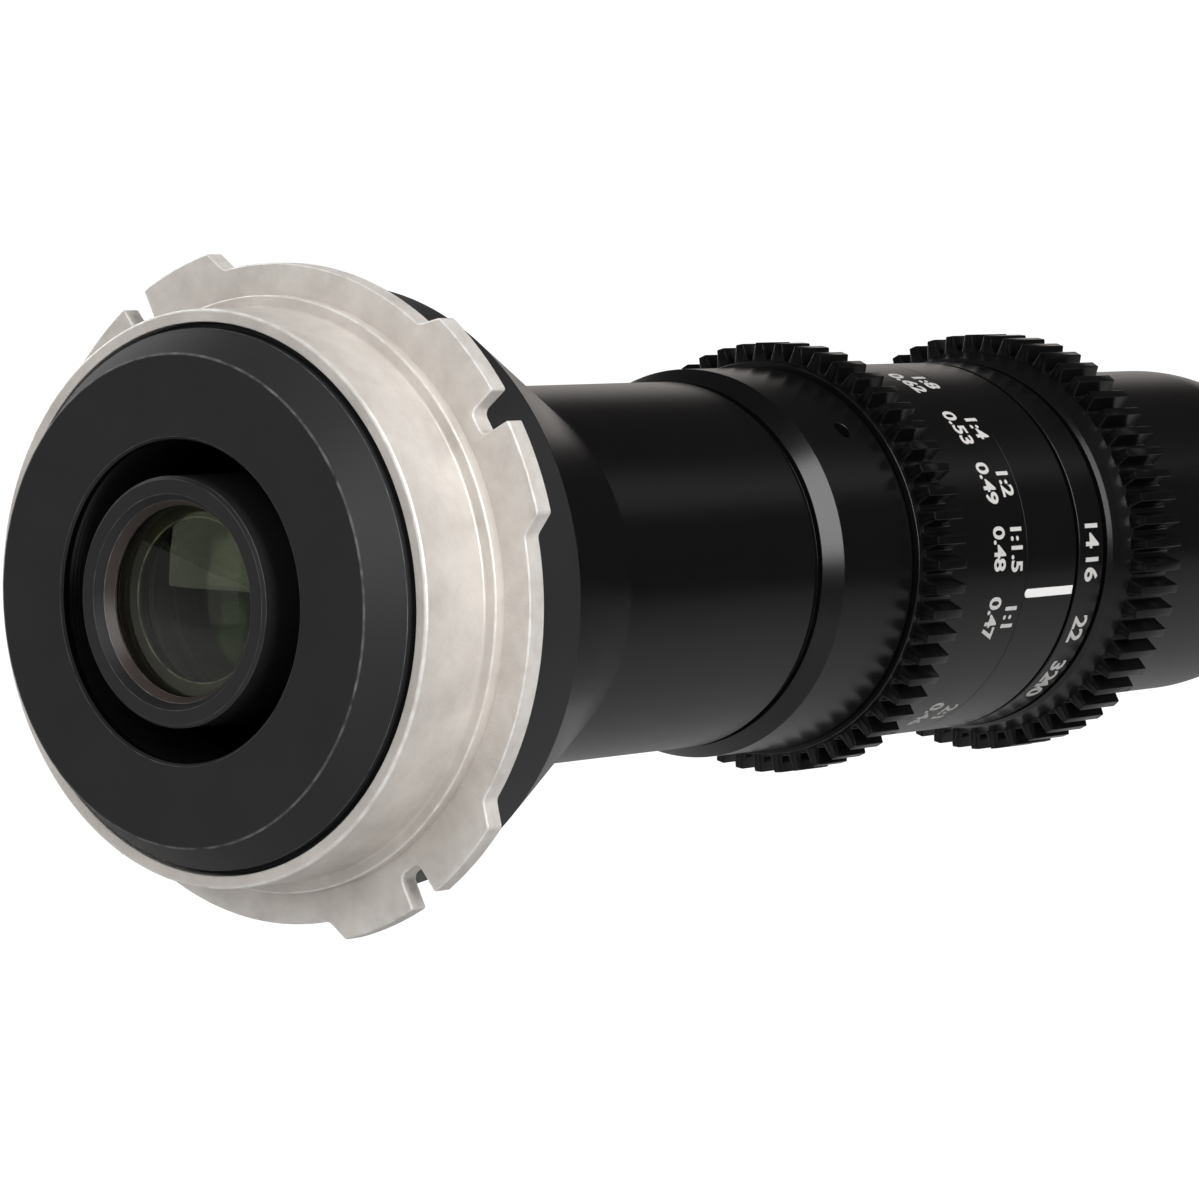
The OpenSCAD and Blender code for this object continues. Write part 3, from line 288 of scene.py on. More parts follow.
def prism_ring(shell, outline, inner_r, y0, y1, chamfer):
    """A plate with a shaped rim, flat chamfers on both sides and a round hole."""
    e = 0.03
    x, z, nx, nz = outline[:, 0], outline[:, 1], outline[:, 2], outline[:, 3]
    turns = np.degrees(np.arctan2(x, z))
    out = np.stack([nx, 0 * nx, nz], -1)
    axial = np.array([0, 1.0, 0])

    def rim(inset, y, tilt, wear):
        p = np.stack([x - nx * inset, 0 * x + y, z - nz * inset], -1)
        return shell.add(p, out * math.cos(tilt) + axial * math.sin(tilt), wear)
    right, slope = math.pi / 2, math.pi / 4
    rows = [rim(chamfer, y0, -right, 0.4), rim(chamfer - e, y0 + e, -slope, 1.0),
            rim(e, y0 + chamfer - e, -slope, 1.0), rim(0, y0 + chamfer, 0, 0.4),
            rim(0, y1 - chamfer, 0, 0.4), rim(e, y1 - chamfer + e, slope, 1.0),
            rim(chamfer - e, y1 - e, slope, 1.0), rim(chamfer, y1, right, 0.4)]
    for a, b in zip(rows, rows[1:]):
        shell.strip(a, b)
    for row, y, way in ((rows[0], y0, -1.0), (rows[-1], y1, 1.0)):
        flat = shell.add(on_axis(inner_r, y, turns), axial * way, 0.0)
        rim_points = np.concatenate(shell.points)[row]
        middle = shell.add((rim_points + on_axis(inner_r, y, turns)) / 2, axial * way, 0.0)
        shell.strip(row, middle)
        shell.strip(middle, flat)
    walls = [shell.add(on_axis(inner_r, y, turns), -on_axis(1.0, 0.0, turns), 0.0) for y in (y0, y1)]
    shell.strip(*walls)


def flange_outline():
    """Rim of the flange: four lugs with sloped, rounded ends and a notch in each."""
    corners = []

    def corner(r, turn, radius):
        p = on_axis(r, 0.0, turn)
        corners.append((p[0], p[2], radius))

    def arc(r, start, end):
        for turn in np.linspace(start, end, max(2, int(abs(end - start) / RIM_STEP)) + 1)[1:-1]:
            corner(r, turn, 0)
    for i in range(4):
        mid = LUG_TURN + 90 * i
        start, end = mid - LUG_HALF, mid + LUG_HALF
        mouth = math.degrees(NOTCH_MOUTH / LUG_R)
        floor = math.degrees(NOTCH_FLOOR / NOTCH_FLOOR_R)
        arc(FLANGE_R, end - 90, start)
        corner(FLANGE_R, start, 1.6)
        corner(LUG_R, start + LUG_CORNER, 0.55)
        arc(LUG_R, start + LUG_CORNER, mid - mouth)
        corner(LUG_R, mid - mouth, 0.25)
        corner(NOTCH_FLOOR_R, mid - floor, 0.8)
        corner(NOTCH_FLOOR_R, mid + floor, 0.8)
        corner(LUG_R, mid + mouth, 0.25)
        arc(LUG_R, mid + mouth, end - LUG_CORNER)
        corner(LUG_R, end - LUG_CORNER, 0.55)
        corner(FLANGE_R, end, 1.6)
    return rounded(corners)


def mount_mesh():
    """Throat, shoulder and notched flange of the mount."""
    shell = Shell()
    prism_ring(shell, flange_outline(), SHOULDER_R - 1.5, 0.0, FLANGE_T, 0.16)
    profile = rounded([
        (BORE_R, THROAT_END, 0.15), (THROAT_R, THROAT_END, 0.35), (THROAT_R, SHOULDER_END, 0.3),
        (SHOULDER_R, SHOULDER_END, 0.22), (SHOULDER_R, FLANGE_T / 2, 0.1), (LEDGE_R, FLANGE_T / 2, 0.1),
        (LEDGE_R, -2.0, 0.2), (BORE_R, -2.0, 0.1)])
    turns = np.arange(SEGMENTS) * TURN / SEGMENTS
    rings = [shell.add(on_axis(r, y, turns), on_axis(1.0, 0.0, turns) * nr + np.array([0, ny, 0]), wear)
             for r, y, nr, ny, wear in profile]
    for i in range(len(rings)):
        shell.strip(rings[i], rings[(i + 1) % len(rings)])
    return shell.mesh("mount_body")


def tooth_pitch(teeth, inner_r, y0, y1, chamfer):
    """One pitch of a gear ring, from gap to gap, to be set round by gear_ring()."""
    pitch = TURN / teeth
    root = GEAR_MODULE * (teeth / 2 - 1.25)
    tip = GEAR_MODULE * (teeth / 2 + 1)
    corners = []
    for r, share, radius in ((root, -0.5, 0), (root, -0.37, 0.2), (tip, -0.18, 0.1),
                             (tip, 0.18, 0.1), (root, 0.37, 0.2), (root, 0.5, 0)):
        p = on_axis(r, 0.0, share * pitch)
        corners.append((p[0], p[2], radius))
    outline = rounded(corners, closed=False)
    flip = -1.0 if outline[0, 3] < 0 else 1.0
    outline[:, 2:4] *= flip
    for end, share in ((0, -0.5), (-1, 0.5)):
        normal = on_axis(1.0, 0.0, share * pitch)
        outline[end, 2:4] = normal[0], normal[2]
    x, z, nx, nz = (outline[:, k] for k in range(4))
    turns = np.linspace(-0.5, 0.5, len(x)) * pitch
    shell = Shell()
    rows = []
    for inset, y in ((chamfer, y0), (0.3 * chamfer, y0 + 0.35 * chamfer), (0, y0 + chamfer),
                     (0, y1 - chamfer), (0.3 * chamfer, y1 - 0.35 * chamfer), (chamfer, y1)):
        rows.append(shell.add(np.stack([x - nx * inset, 0 * x + y, z - nz * inset], -1),
                              np.stack([nx, 0 * nx, nz], -1), 1.0 if inset else 0.2))
    front = shell.add(on_axis(inner_r, y1, turns), [0, 1.0, 0], 0.0)
    back = shell.add(on_axis(inner_r, y0, turns), [0, -1.0, 0], 0.0)
    for a, b in zip(rows, rows[1:]):
        shell.strip(a, b, closed=False)
    faces = len(shell.faces)
    shell.strip(rows[-1], front, closed=False)
    shell.strip(back, rows[0], closed=False)
    shell.strip(front, back, closed=False)
    points = np.concatenate(shell.points)
    centre = np.array([0.0, (y0 + y1) / 2, (root + inner_r) / 2])
    for k, f in enumerate(shell.faces):
        p = points[list(f)]
        normal = np.cross(p[2] - p[0], p[3] - p[1])
        if k < faces:
            outward = normal[0] * np.mean(nx) + normal[2]
            away = normal @ (p.mean(0) - centre)
            ok = away > 0 or outward > 0 and abs(normal[1]) < 1e-9
        else:
            ok = normal @ (p.mean(0) - centre) > 0
        shell.faces[k] = f if ok else f[::-1]
    made = bpy.data.meshes.new("tooth_pitch")
    made.from_pydata((points * MM).tolist(), [], [tuple(int(i) for i in f) for f in shell.faces])
    wear = made.attributes.new("wear", "FLOAT", "POINT")
    wear.data.foreach_set("value", np.concatenate(shell.wear).astype(np.float32))
    return made


def ring_array_tree():
    """Geometry Nodes tree that sets a sector round the optical axis and welds it into one ring."""
    tree = bpy.data.node_groups.new("ring_array", "GeometryNodeTree")
    face = tree.interface
    face.new_socket("Sector", in_out="INPUT", socket_type="NodeSocketGeometry")
    face.new_socket("Count", in_out="INPUT", socket_type="NodeSocketInt")
    face.new_socket("Weld distance", in_out="INPUT", socket_type="NodeSocketFloat")
    face.new_socket("Sharp angle", in_out="INPUT", socket_type="NodeSocketFloat")
    face.new_socket("Finish", in_out="INPUT", socket_type="NodeSocketMaterial")
    face.new_socket("Ring", in_out="OUTPUT", socket_type="NodeSocketGeometry")
    add, join = tree.nodes.new, tree.links.new
    given, made = add("NodeGroupInput"), add("NodeGroupOutput")
    points = add("GeometryNodePoints")
    join(given.outputs["Count"], points.inputs["Count"])
    index, step, turn = add("GeometryNodeInputIndex"), add("ShaderNodeMath"), add("ShaderNodeMath")
    step.operation, turn.operation = "DIVIDE", "MULTIPLY"
    step.inputs[0].default_value = 2 * math.pi
    join(given.outputs["Count"], step.inputs[1])
    join(index.outputs[0], turn.inputs[0])
    join(step.outputs[0], turn.inputs[1])
    angles = add("ShaderNodeCombineXYZ")
    join(turn.outputs[0], angles.inputs["Y"])
    copies = add("GeometryNodeInstanceOnPoints")
    join(points.outputs[0], copies.inputs["Points"])
    join(given.outputs["Sector"], copies.inputs["Instance"])
    join(angles.outputs[0], copies.inputs["Rotation"])
    real, welded = add("GeometryNodeRealizeInstances"), add("GeometryNodeMergeByDistance")
    join(copies.outputs[0], real.inputs[0])
    join(real.outputs[0], welded.inputs["Geometry"])
    join(given.outputs["Weld distance"], welded.inputs["Distance"])
    smooth = add("GeometryNodeSetShadeSmooth")
    join(welded.outputs[0], smooth.inputs["Geometry"])
    bend, over = add("GeometryNodeInputMeshEdgeAngle"), add("FunctionNodeCompare")
    sharp = add("GeometryNodeSetShadeSmooth")
    join(bend.outputs["Unsigned Angle"], over.inputs["A"])
    join(given.outputs["Sharp angle"], over.inputs["B"])
    sharp.domain = "EDGE"
    sharp.inputs["Shade Smooth"].default_value = False
    join(smooth.outputs[0], sharp.inputs["Geometry"])
    join(over.outputs[0], sharp.inputs["Selection"])
    paint = add("GeometryNodeSetMaterial")
    join(sharp.outputs[0], paint.inputs["Geometry"])
    join(given.outputs["Finish"], paint.inputs["Material"])
    join(paint.outputs[0], made.inputs[0])
    return tree


def evaluated_mesh(made):
    """Mesh of an object after its modifiers, or of a text object."""
    bpy.context.view_layer.update()
    return bpy.data.meshes.new_from_object(made.evaluated_get(bpy.context.evaluated_depsgraph_get()))


def gear_ring(name, teeth, inner_r, y0, y1, finish, body, node):
    """A ring of gear teeth, set round from one pitch by the ring array."""
    sector = bpy.data.objects.new(name + "_sector", tooth_pitch(teeth, inner_r, y0, y1, TOOTH_CHAMFER))
    bpy.context.scene.collection.objects.link(sector)
    sector.data.materials.append(finish)
    array = sector.modifiers.new("teeth", "NODES")
    array.node_group = ring_array
    sockets = {s.name: s.identifier for s in ring_array.interface.items_tree if s.in_out == "INPUT"}
    array[sockets["Count"]] = teeth
    array[sockets["Weld distance"]] = 0.002 * MM
    array[sockets["Sharp angle"]] = math.radians(32)
    array[sockets["Finish"]] = finish
    mesh = evaluated_mesh(sector)
    mesh.name = name
    sector.modifiers.remove(array)
    bpy.data.objects.remove(sector)
    return piece(name, mesh, finish, body, "anodised_black", node)


# Filled numbers: share of the font size that a digit is high, depth, lift, boldness and letter spacing
DIGIT_SHARE, FILL_DEPTH, FILL_LIFT = 0.72, 0.02, 0.012
BOLDNESS, LETTER_GAP = 0.075, 0.98


def lettering(name, words, radius, finish, body):
    """Words (text, height, y, turn) wrapped on a cylinder, with their tops towards the tip."""
    shell_points, shell_faces = [], []
    for text, height, y, turn in words:
        curve = bpy.data.curves.new(name + "_word", "FONT")
        curve.body = text
        curve.size = height / DIGIT_SHARE
        curve.align_x, curve.align_y = "CENTER", "CENTER"
        curve.extrude = FILL_DEPTH
        curve.offset = BOLDNESS
        curve.space_character = LETTER_GAP
        curve.resolution_u = 4
        word = bpy.data.objects.new(name + "_word", curve)
        bpy.context.scene.collection.objects.link(word)
        flat = evaluated_mesh(word)
        co = np.array([v.co[:] for v in flat.vertices])
        place = on_axis(radius + FILL_LIFT + co[:, 2], y + co[:, 1],
                        turn + np.degrees(co[:, 0] / radius))
        first = len(shell_points)
        shell_points.extend((place * MM).tolist())
        shell_faces.extend([tuple(first + k for k in p.vertices) for p in flat.polygons])
        bpy.data.objects.remove(word)
        bpy.data.meshes.remove(flat)
    mesh = bpy.data.meshes.new(name)
    mesh.from_pydata(shell_points, [], shell_faces)
    mesh.update()
    return piece(name, mesh, finish, body, "white_fill")


# Finishes
def new_group(name, inputs, outputs):
    """An empty shader node group with its named sockets, and its two end nodes."""
    group = bpy.data.node_groups.new(name, "ShaderNodeTree")
    for label, kind, value in inputs:
        made = group.interface.new_socket(label, in_out="INPUT", socket_type=kind)
        if value is not None:
            made.default_value = value
    for label, kind in outputs:
        group.interface.new_socket(label, in_out="OUTPUT", socket_type=kind)
    return group, group.nodes.new("NodeGroupInput"), group.nodes.new("NodeGroupOutput")


def maths(tree, operation, a, b=None, c=None, clamp=False):
    """Output of a Math node whose inputs are numbers or other outputs."""
    node = tree.nodes.new("ShaderNodeMath")
    node.operation = operation
    node.use_clamp = clamp
    for value, socket in zip((a, b, c), node.inputs):
        if value is None:
            continue
        if isinstance(value, (int, float)):
            socket.default_value = value
        else:
            tree.links.new(value, socket)
    return node.outputs[0]


FLOAT, VECTOR = "NodeSocketFloat", "NodeSocketVector"


def grain_group():
    """Fine speckle of a blasted or anodised skin, as a height and as a slow cloudy mask."""
    tree, given, made = new_group("skin_grain", [("Place", VECTOR, None), ("Size mm", FLOAT, 0.1),
                                                 ("Cloud mm", FLOAT, 6.0)],
                                  [("Height", FLOAT), ("Cloud", FLOAT)])
    for label, detail, out in (("Size mm", 3.0, "Height"), ("Cloud mm", 4.0, "Cloud")):
        noise = tree.nodes.new("ShaderNodeTexNoise")
        noise.inputs["Detail"].default_value = detail
        noise.inputs["Roughness"].default_value = 0.6
        tree.links.new(given.outputs["Place"], noise.inputs["Vector"])
        tree.links.new(maths(tree, "DIVIDE", 1000.0, given.outputs[label]), noise.inputs["Scale"])
        tree.links.new(noise.outputs["Fac"], made.inputs[out])
    return tree


def turning_group():
    """Fine lines that a lathe leaves round the axis."""
    tree, given, made = new_group("turning_lines", [("Place", VECTOR, None), ("Pitch mm", FLOAT, 0.08)],
                                  [("Height", FLOAT)])
    parts = tree.nodes.new("ShaderNodeSeparateXYZ")
    tree.links.new(given.outputs["Place"], parts.inputs[0])
    flat = maths(tree, "ADD", maths(tree, "MULTIPLY", parts.outputs["X"], parts.outputs["X"]),
                 maths(tree, "MULTIPLY", parts.outputs["Z"], parts.outputs["Z"]))
    radius = maths(tree, "SQRT", flat)
    line = tree.nodes.new("ShaderNodeCombineXYZ")
    tree.links.new(radius, line.inputs["X"])
    tree.links.new(parts.outputs["Y"], line.inputs["Y"])
    noise = tree.nodes.new("ShaderNodeTexNoise")
    noise.inputs["Detail"].default_value = 2.0
    tree.links.new(line.outputs[0], noise.inputs["Vector"])
    tree.links.new(maths(tree, "DIVIDE", 1000.0, given.outputs["Pitch mm"]), noise.inputs["Scale"])
    tree.links.new(noise.outputs["Fac"], made.inputs["Height"])
    return tree


def wear_group():
    """Mask of broken edge wear from the wear mask that each turned piece carries; some finishes use it for a
    painted edge highlight.
    """
    tree, given, made = new_group("rubbed_edge_and_glint", [("Wear", FLOAT, 0.0), ("Place", VECTOR, None),
                                                  ("Amount", FLOAT, 0.5), ("Patch mm", FLOAT, 1.5)],
                                  [("Mask", FLOAT)])
    noise = tree.nodes.new("ShaderNodeTexNoise")
    noise.inputs["Detail"].default_value = 5.0
    tree.links.new(given.outputs["Place"], noise.inputs["Vector"])
    tree.links.new(maths(tree, "DIVIDE", 1000.0, given.outputs["Patch mm"]), noise.inputs["Scale"])
    broken = maths(tree, "MULTIPLY_ADD", noise.outputs["Fac"], 2.4, -0.7, clamp=True)
    worn_and_glint = maths(tree, "MULTIPLY", maths(tree, "MAXIMUM", given.outputs["Wear"], 0.0), broken)
    tree.links.new(maths(tree, "MULTIPLY", worn_and_glint, given.outputs["Amount"], clamp=True), made.inputs["Mask"])
    return tree


GRAIN, TURNING, RUBBED_AND_GLINT = grain_group(), turning_group(), wear_group()


def use_group(tree, group, **values):
    """Outputs of a node group placed in a tree, with its named inputs set."""
    node = tree.nodes.new("ShaderNodeGroup")
    node.node_tree = group
    for label, value in values.items():
        socket = node.inputs[label.replace("_", " ")]
        if isinstance(value, (int, float)):
            socket.default_value = value
        else:
            tree.links.new(value, socket)
    return node.outputs


def mix_colour(tree, share, first, second):
    """Output of a Mix node from the first colour to the second."""
    node = tree.nodes.new("ShaderNodeMix")
    node.data_type = "RGBA"
    tree.links.new(share, node.inputs["Factor"])
    for value, socket in ((first, node.inputs[6]), (second, node.inputs[7])):
        if isinstance(value, tuple):
            socket.default_value = (*value, 1.0)
        else:
            tree.links.new(value, socket)
    return node.outputs[2]


def finish(name, base, cloudy, worn_and_glint, rough, rough_spread, metallic=0.0, grain_mm=0.1, grain_depth=0.002,
           turning_mm=0.0, turning_depth=0.002, cloud_mm=6.0, wear=0.4, specular=0.5, coat=0.0):
    """A skin whose colour clouds slightly, whose edges show wear and in some finishes a painted highlight,
    and whose grain shows in the gloss.
    """
    made = bpy.data.materials.new(name)
    made.use_nodes = True
    tree = made.node_tree
    shader = tree.nodes["Principled BSDF"]
    place = tree.nodes.new("ShaderNodeTexCoord").outputs["Object"]
    mask = tree.nodes.new("ShaderNodeAttribute")
    mask.attribute_name = "wear"
    grain = use_group(tree, GRAIN, Place=place, Size_mm=grain_mm, Cloud_mm=cloud_mm)
    rubbed_and_glint = use_group(tree, RUBBED_AND_GLINT, Wear=mask.outputs["Fac"], Place=place, Amount=wear)["Mask"]
    clouded = mix_colour(tree, grain["Cloud"], base, cloudy)
    # Edges under the wear mask take the edge colour: real wear, and a painted highlight in some finishes.
    tree.links.new(mix_colour(tree, rubbed_and_glint, clouded, worn_and_glint), shader.inputs["Base Color"])
    gloss = maths(tree, "MULTIPLY_ADD", grain["Cloud"], rough_spread, rough - rough_spread / 2)
    tree.links.new(gloss, shader.inputs["Roughness"])
    height = maths(tree, "MULTIPLY", grain["Height"], grain_depth)
    if turning_mm:
        lines = use_group(tree, TURNING, Place=place, Pitch_mm=turning_mm)["Height"]
        height = maths(tree, "MULTIPLY_ADD", lines, turning_depth, height)
    bump = tree.nodes.new("ShaderNodeBump")
    bump.inputs["Distance"].default_value = MM
    tree.links.new(height, bump.inputs["Height"])
    tree.links.new(bump.outputs[0], shader.inputs["Normal"])
    shader.inputs["Metallic"].default_value = metallic
    shader.inputs["Specular IOR Level"].default_value = specular
    shader.inputs["Coat Weight"].default_value = coat
    return made


# Share of the lamps' light that passes the glass and so lights the parts behind it
GLASS_CLEAR = 0.7


def glass_finish(name, tint):
    """Glass: clear, with a weak mirror and a slow cloud in its tint."""
    made = bpy.data.materials.new(name)
    made.use_nodes = True
    tree = made.node_tree
    shader = tree.nodes["Principled BSDF"]
    place = tree.nodes.new("ShaderNodeTexCoord").outputs["Object"]
    grain = use_group(tree, GRAIN, Place=place, Size_mm=0.5, Cloud_mm=9.0)
    tree.links.new(mix_colour(tree, grain["Cloud"], tint, tuple(0.97 * t for t in tint)),
                   shader.inputs["Base Color"])
    shader.inputs["Roughness"].default_value = 0.0
    shader.inputs["Transmission Weight"].default_value = 1.0
    shader.inputs["IOR"].default_value = 1.45
    shader.inputs["Specular IOR Level"].default_value = 0.3
    shadow = tree.nodes.new("ShaderNodeLightPath").outputs["Is Shadow Ray"]
    tree.links.new(maths(tree, "MULTIPLY_ADD", shadow, -GLASS_CLEAR, 1.0), shader.inputs["Alpha"])
    return made


# Blasted steel: its edges go near white through the wear mask, partly real polish from wear and partly a
# painted edge highlight.
STEEL_WITH_PAINTED_GLINT = finish("blasted_steel_with_painted_glint", (1.0, 0.945, 0.885), (0.44, 0.40, 0.365), (1.0, 0.98, 0.95), 0.38, 0.12,
               metallic=0.35, grain_mm=0.28, grain_depth=0.06, cloud_mm=7.0, wear=1.0)
BLACK = finish("black_anodised", (0.0030, 0.0028, 0.0028), (0.0042, 0.0040, 0.0040), (0.03, 0.028, 0.027),
               0.25, 0.05, grain_mm=0.07, grain_depth=0.0008, turning_mm=0.05, turning_depth=0.0004,
               wear=0.35, specular=0.42)
RIM_BLACK = finish("rim_black", (0.018, 0.0175, 0.018), (0.021, 0.0205, 0.021), (0.05, 0.048, 0.046),
                   0.45, 0.06, grain_mm=0.08, grain_depth=0.001, turning_mm=0.05, turning_depth=0.0006,
                   specular=0.35)
GEAR_BLACK = finish("gear_black", (0.0022, 0.0022, 0.0022), (0.003, 0.003, 0.003), (0.02, 0.02, 0.02),
                    0.20, 0.05, grain_mm=0.1, grain_depth=0.0008, wear=0.4, specular=0.32)
BAFFLE_BLACK = finish("baffle_black", (0.0225, 0.0225, 0.0235), (0.017, 0.017, 0.018), (0.28, 0.275, 0.27),
                      0.52, 0.06, grain_mm=0.08, grain_depth=0.0015, turning_mm=0.06, turning_depth=0.0008,
                      wear=0.6, specular=0.26)
CELL_BLACK = finish("cell_black", (0.013, 0.013, 0.0135), (0.017, 0.017, 0.0175), (0.16, 0.155, 0.15),
                    0.42, 0.06, grain_mm=0.06, grain_depth=0.001, turning_mm=0.05, turning_depth=0.0008,
                    wear=0.9, specular=0.45)
# Black of the rear retaining ring and spacer behind the glass: its brownish base is lightened as a painted
# reflection of the glass coatings, and its edges go near white through the wear mask as a painted highlight
# on the spacer's lip.
STOP_BLACK_PAINTED_GLINT = finish("stop_black_painted_glint", (0.046, 0.035, 0.032), (0.056, 0.044, 0.040), (0.80, 0.76, 0.70),
                    0.38, 0.06, grain_mm=0.06, grain_depth=0.001, wear=1.0, specular=0.45)
WHITE_FILL = finish("white_fill", (0.88, 0.87, 0.86), (0.80, 0.79, 0.78), (0.88, 0.87, 0.86), 0.55, 0.1,
                    grain_mm=0.15, grain_depth=0.004, cloud_mm=0.8, wear=0.0)
NUMBER_FILL = finish("number_fill", (0.64, 0.62, 0.60), (0.46, 0.45, 0.44), (0.6, 0.6, 0.6), 0.55, 0.1,
                     grain_mm=0.15, grain_depth=0.004, cloud_mm=0.5, wear=0.0)
INNER = finish("inner_aluminium", (0.012, 0.012, 0.013), (0.018, 0.018, 0.019), (0.10, 0.10, 0.10),
               0.55, 0.1, turning_mm=0.08)
PIN = finish("ground_pins", (0.6, 0.6, 0.6), (0.5, 0.5, 0.5), (0.7, 0.7, 0.7), 0.25, 0.08, metallic=1.0)
BRASS = finish("brass", (0.72, 0.52, 0.22), (0.6, 0.42, 0.18), (0.85, 0.66, 0.32), 0.3, 0.1, metallic=1.0)
DARK_STEEL = finish("dark_steel", (0.09, 0.09, 0.092), (0.06, 0.06, 0.062), (0.3, 0.3, 0.3),
                    0.35, 0.1, metallic=1.0)
RUBBER = finish("seal_rubber", (0.012, 0.012, 0.012), (0.018, 0.018, 0.018), (0.02, 0.02, 0.02), 0.75, 0.1)
FLEX = finish("flex_film", (0.32, 0.16, 0.04), (0.26, 0.13, 0.03), (0.4, 0.2, 0.06), 0.4, 0.1)
BOARD = finish("board_white", (0.7, 0.7, 0.68), (0.62, 0.62, 0.6), (0.7, 0.7, 0.68), 0.5, 0.1)
LAMP_YELLOW = finish("led_yellow", (0.75, 0.55, 0.12), (0.7, 0.5, 0.1), (0.8, 0.6, 0.2), 0.3, 0.1, coat=0.5)
WINDOW = finish("window_white", (0.78, 0.78, 0.76), (0.72, 0.72, 0.70), (0.8, 0.8, 0.8), 0.45, 0.1, coat=0.3)
BLADE = finish("blade_black", (0.02, 0.02, 0.021), (0.03, 0.03, 0.031), (0.1, 0.1, 0.1),
               0.45, 0.1, metallic=0.3)
REAR_GLASS = glass_finish("rear_glass", (0.46, 0.51, 0.36))
INNER_GLASS = glass_finish("inner_glass", (0.50, 0.68, 0.30))

BY_SLOT = {
    "mount_steel": STEEL_WITH_PAINTED_GLINT, "brass": BRASS, "dark_steel": DARK_STEEL, "baffle_black": BAFFLE_BLACK,
    "anodised_black": BLACK, "cell_black": CELL_BLACK, "glass": INNER_GLASS, "inner_aluminium": INNER,
    "pin_steel": PIN, "white_fill": WHITE_FILL, "seal_rubber": RUBBER, "socket_steel": PIN, "flex": FLEX,
    "board_white": BOARD, "led_yellow": LAMP_YELLOW, "window_white": WINDOW, "blade_black": BLADE,
}
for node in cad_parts.values():
    for part in node.material_slots:
        part.material = BY_SLOT.get(part.material.name.split(".")[0], BLACK)

# Mount end
piece("mount_body", mount_mesh(), STEEL_WITH_PAINTED_GLINT, "body", "mount_steel", "mount_flange")


def threads(r, y0, y1, pitch, depth):
    """Corners of a light-trapping thread on a bore, from y0 to y1."""
    count = int(abs(y1 - y0) / pitch)
    way = math.copysign(pitch, y1 - y0)
    return [(r + depth * (k % 2), y0 + way * k / 2, 0.03) for k in range(2 * count + 1)]


baffle = piece("baffle_body", lathe("baffle_body", [
    (BAFFLE_OPEN_R + 0.25, BAFFLE_END, 0.08), (BAFFLE_FACE_R, BAFFLE_END, 0.35), (25.2, -9.95, 0.2),
    (25.2, -8.6, 0.1), (25.7, -8.3, 0.1), (25.7, -3.45, 0.1), (BAFFLE_OPEN_R, -3.45, 0.1)]
    + threads(BAFFLE_OPEN_R, -3.9, BAFFLE_END + 0.5, 0.5, 0.22) + [(BAFFLE_OPEN_R, BAFFLE_END + 0.25, 0.05)]),
    BAFFLE_BLACK, "body", "baffle_black", "rear_baffle")
# The threaded bore of the baffle takes the darker anodised black as painted shade in the recess.
second_finish(baffle, BLACK, lambda r, y: r < BAFFLE_OPEN_R + 0.3 and y > BAFFLE_END + 0.2)

adapter = piece("adapter_body", lathe("adapter_body", [
    (LEDGE_R, RIM_START, 0.1), (RIM_R, RIM_START, 0.3), (RIM_R, RIM_END, 0.35), (CONE_R, CONE_END, 0.25),
    (CONE_R, BARREL_START, 0.12), (17.45, BARREL_START, 0.1), (17.45, 20.05, 0.1), (LEDGE_R, RIM_END, 0.1)]),
    BLACK, "body", "anodised_black", "mount_adapter")
second_finish(adapter, RIM_BLACK, lambda r, y: r > RIM_R - 0.2 and y < RIM_END - 0.1)

# Rear optics
piece("rear_cell_body", lathe("rear_cell_body", [
    (10.0, CELL_END, 0.08), (CELL_R - 0.3, CELL_END, 0.06), (CELL_R, CELL_END + 0.3, 0.08),
    (CELL_R, 40.0, 0.1), (15.9, 40.0, 0.1), (15.9, 44.0, 0.1), (CELL_CLEAR_R, 44.0, 0.1),
    (CELL_CLEAR_R, -0.6, 0.1), (CELL_BORE_R, -0.6, 0.1), (CELL_BORE_R, -12.4, 0.05),
    (9.4, -13.0, 0.05), (9.4, -13.4, 0.05)]),
    CELL_BLACK, "body", "cell_black", "rear_cell")

piece("rear_ring_body", lathe("rear_ring_body", [
    (CELL_CLEAR_R, -12.2, 0.05), (CELL_CLEAR_R, -12.45, 0.04), (9.4, -13.4, 0.06), (9.7, -13.4, 0.04),
    (9.7, -12.2, 0.04)]), STOP_BLACK_PAINTED_GLINT, "body", "cell_black", "rear_retaining_ring")
piece("rear_spacer_body", lathe("rear_spacer_body", [
    (9.7, -5.6, 0.05), (9.7, -9.6, 0.05), (8.7, -9.6, 0.05), (7.45, -9.4, 0.18), (7.45, -9.0, 0.18),
    (CELL_CLEAR_R, -8.9, 0.05)] + threads(CELL_CLEAR_R, -8.7, -5.65, 0.8, 0.2)),
    STOP_BLACK_PAINTED_GLINT, "body", "cell_black", "rear_spacer")


def lens(name, r, clear_r, y0, y1, rear, front, finish, *nodes):
    """A round glass with a flat rim, whose faces bulge out by their heights, or in where negative."""
    def cap(bulge, edge_y, way):
        ball = (clear_r ** 2 + bulge ** 2) / (2 * abs(bulge))
        height = math.copysign(1.0, bulge)
        return [(rho, edge_y + way * height * (math.sqrt(ball ** 2 - rho ** 2) - ball + abs(bulge)), 0)
                for rho in np.linspace(0.0, clear_r, 21)]
    corners = cap(rear, y0, -1) + [(r, y0, 0.08), (r, y1, 0.08)] + cap(front, y1, 1)[::-1]
    return piece(name, lathe(name, corners, poles=True), finish, "body", "glass", *nodes)


lens("rear_glass_body", 9.7, CELL_CLEAR_R, -12.2, -9.6, 1.0, -1.0, REAR_GLASS, "rear_element")
lens("rear_doublet_body", 9.7, CELL_CLEAR_R, -5.6, -0.6, 1.0, 1.0, INNER_GLASS, "rear_doublet")
lens("front_glass_body", 3.65, 3.05, TIP - 3.3, TIP - 1.3, -0.5, 0.25, REAR_GLASS, "front_element")

